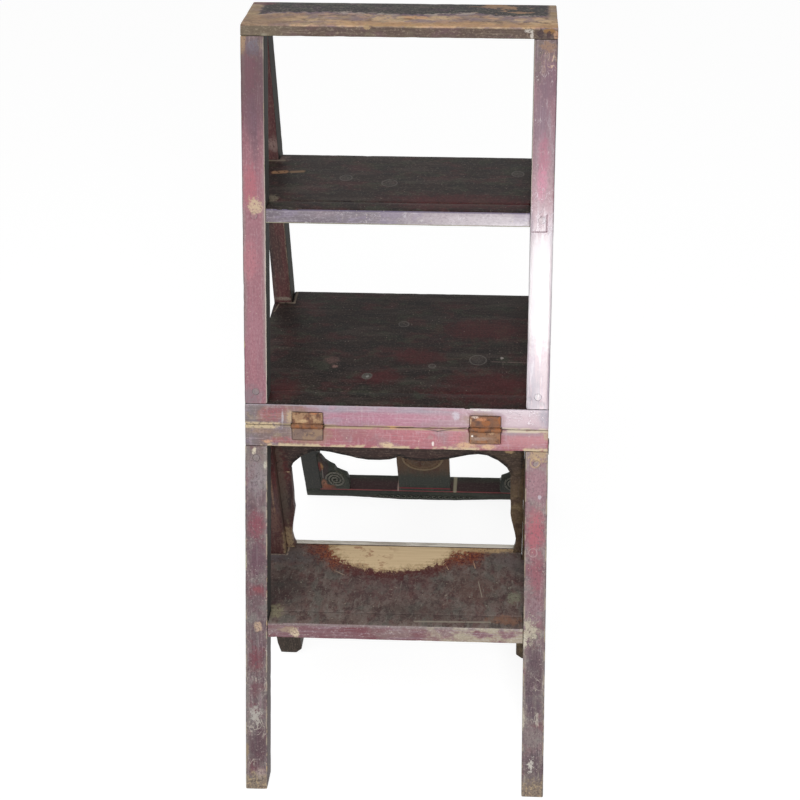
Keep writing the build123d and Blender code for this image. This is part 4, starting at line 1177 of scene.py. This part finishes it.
def dress_fittings():
    """Rust on the iron."""
    iron = rust()
    for name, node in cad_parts.items():
        if "hinge_leaf" in name or "hinge_pin" in name or "hinge_nails" in name:
            node.data.materials.clear()
            node.data.materials.append(iron)


def lamp(name, place, aim, wide, high, power):
    """A soft lamp that faces a place."""
    light = bpy.data.lights.new(name, "AREA")
    light.shape = "RECTANGLE"
    light.size = wide
    light.size_y = high
    light.energy = power
    holder = bpy.data.objects.new(name, light)
    holder.location = place
    holder.rotation_euler = (aim - place).to_track_quat("-Z", "Y").to_euler()
    bpy.context.scene.collection.objects.link(holder)


def seen_directly(tree):
    """One for what the camera, a reflection or a clear material sees directly."""
    path = wire(tree, "LightPath", {}).outputs
    seen = path["Is Camera Ray"]
    for ray in ("Is Glossy Ray", "Is Transmission Ray"):
        seen = wire(tree, "Math", {0: seen, 1: path[ray]}, operation="MAXIMUM").outputs[0]
    return seen


def set_stage():
    """A white surround, a white floor that keeps the shadow, and soft lamps."""
    world = bpy.data.worlds.new("surround")
    bpy.context.scene.world = world
    world.use_nodes = True
    tree = world.node_tree
    values = {"Value": seen_directly(tree), "To Min": 0.36, "To Max": 1.0}
    sky = tree.nodes["Background"].inputs
    sky["Color"].default_value = (1, 1, 1, 1)
    tree.links.new(wire(tree, "MapRange", values).outputs[0], sky["Strength"])

    bpy.ops.mesh.primitive_plane_add(size=14, location=(0, 0, 0))
    floor = bpy.context.active_object
    floor.name = "floor"
    material = bpy.data.materials.new("white_floor")
    material.use_nodes = True
    tree = material.node_tree
    tree.nodes.clear()
    plain = wire(tree, "BsdfDiffuse", {"Color": (0.8, 0.8, 0.8, 1)})
    pale = wire(tree, "BsdfDiffuse", {"Color": (0.25, 0.25, 0.25, 1)})
    glow = wire(tree, "Emission", {"Strength": 0.88})
    both = wire(tree, "AddShader", {0: pale.outputs[0], 1: glow.outputs[0]})
    values = {0: seen_directly(tree), 1: plain.outputs[0], 2: both.outputs[0]}
    mix = wire(tree, "MixShader", values)
    wire(tree, "OutputMaterial", {"Surface": mix.outputs[0]})
    floor.data.materials.append(material)
    bpy.ops.object.select_all(action="DESELECT")

    lamp("window", at(270, -900, 1120), on_face(150, 580), 0.30, 0.50, 9)
    lamp("fill", at(-600, -600, 2400), on_face(0, 500), 1.5, 1.5, 14)


def set_camera():
    """The photograph's view: from the climber's side, high and a little to the right."""
    camera = bpy.data.cameras.new("view")
    looking_down, turned_left = 36.434, 1.988
    camera.sensor_width = 36
    camera.lens = 53.556
    camera.shift_x = -0.10
    holder = bpy.data.objects.new("view", camera)
    holder.location = at(152.96, -990.92, 1407.70)
    holder.rotation_euler = (math.radians(90 - looking_down), 0, math.radians(turned_left))
    bpy.context.scene.collection.objects.link(holder)
    bpy.context.scene.camera = holder


build_wood()
dress_fittings()
set_stage()
set_camera()
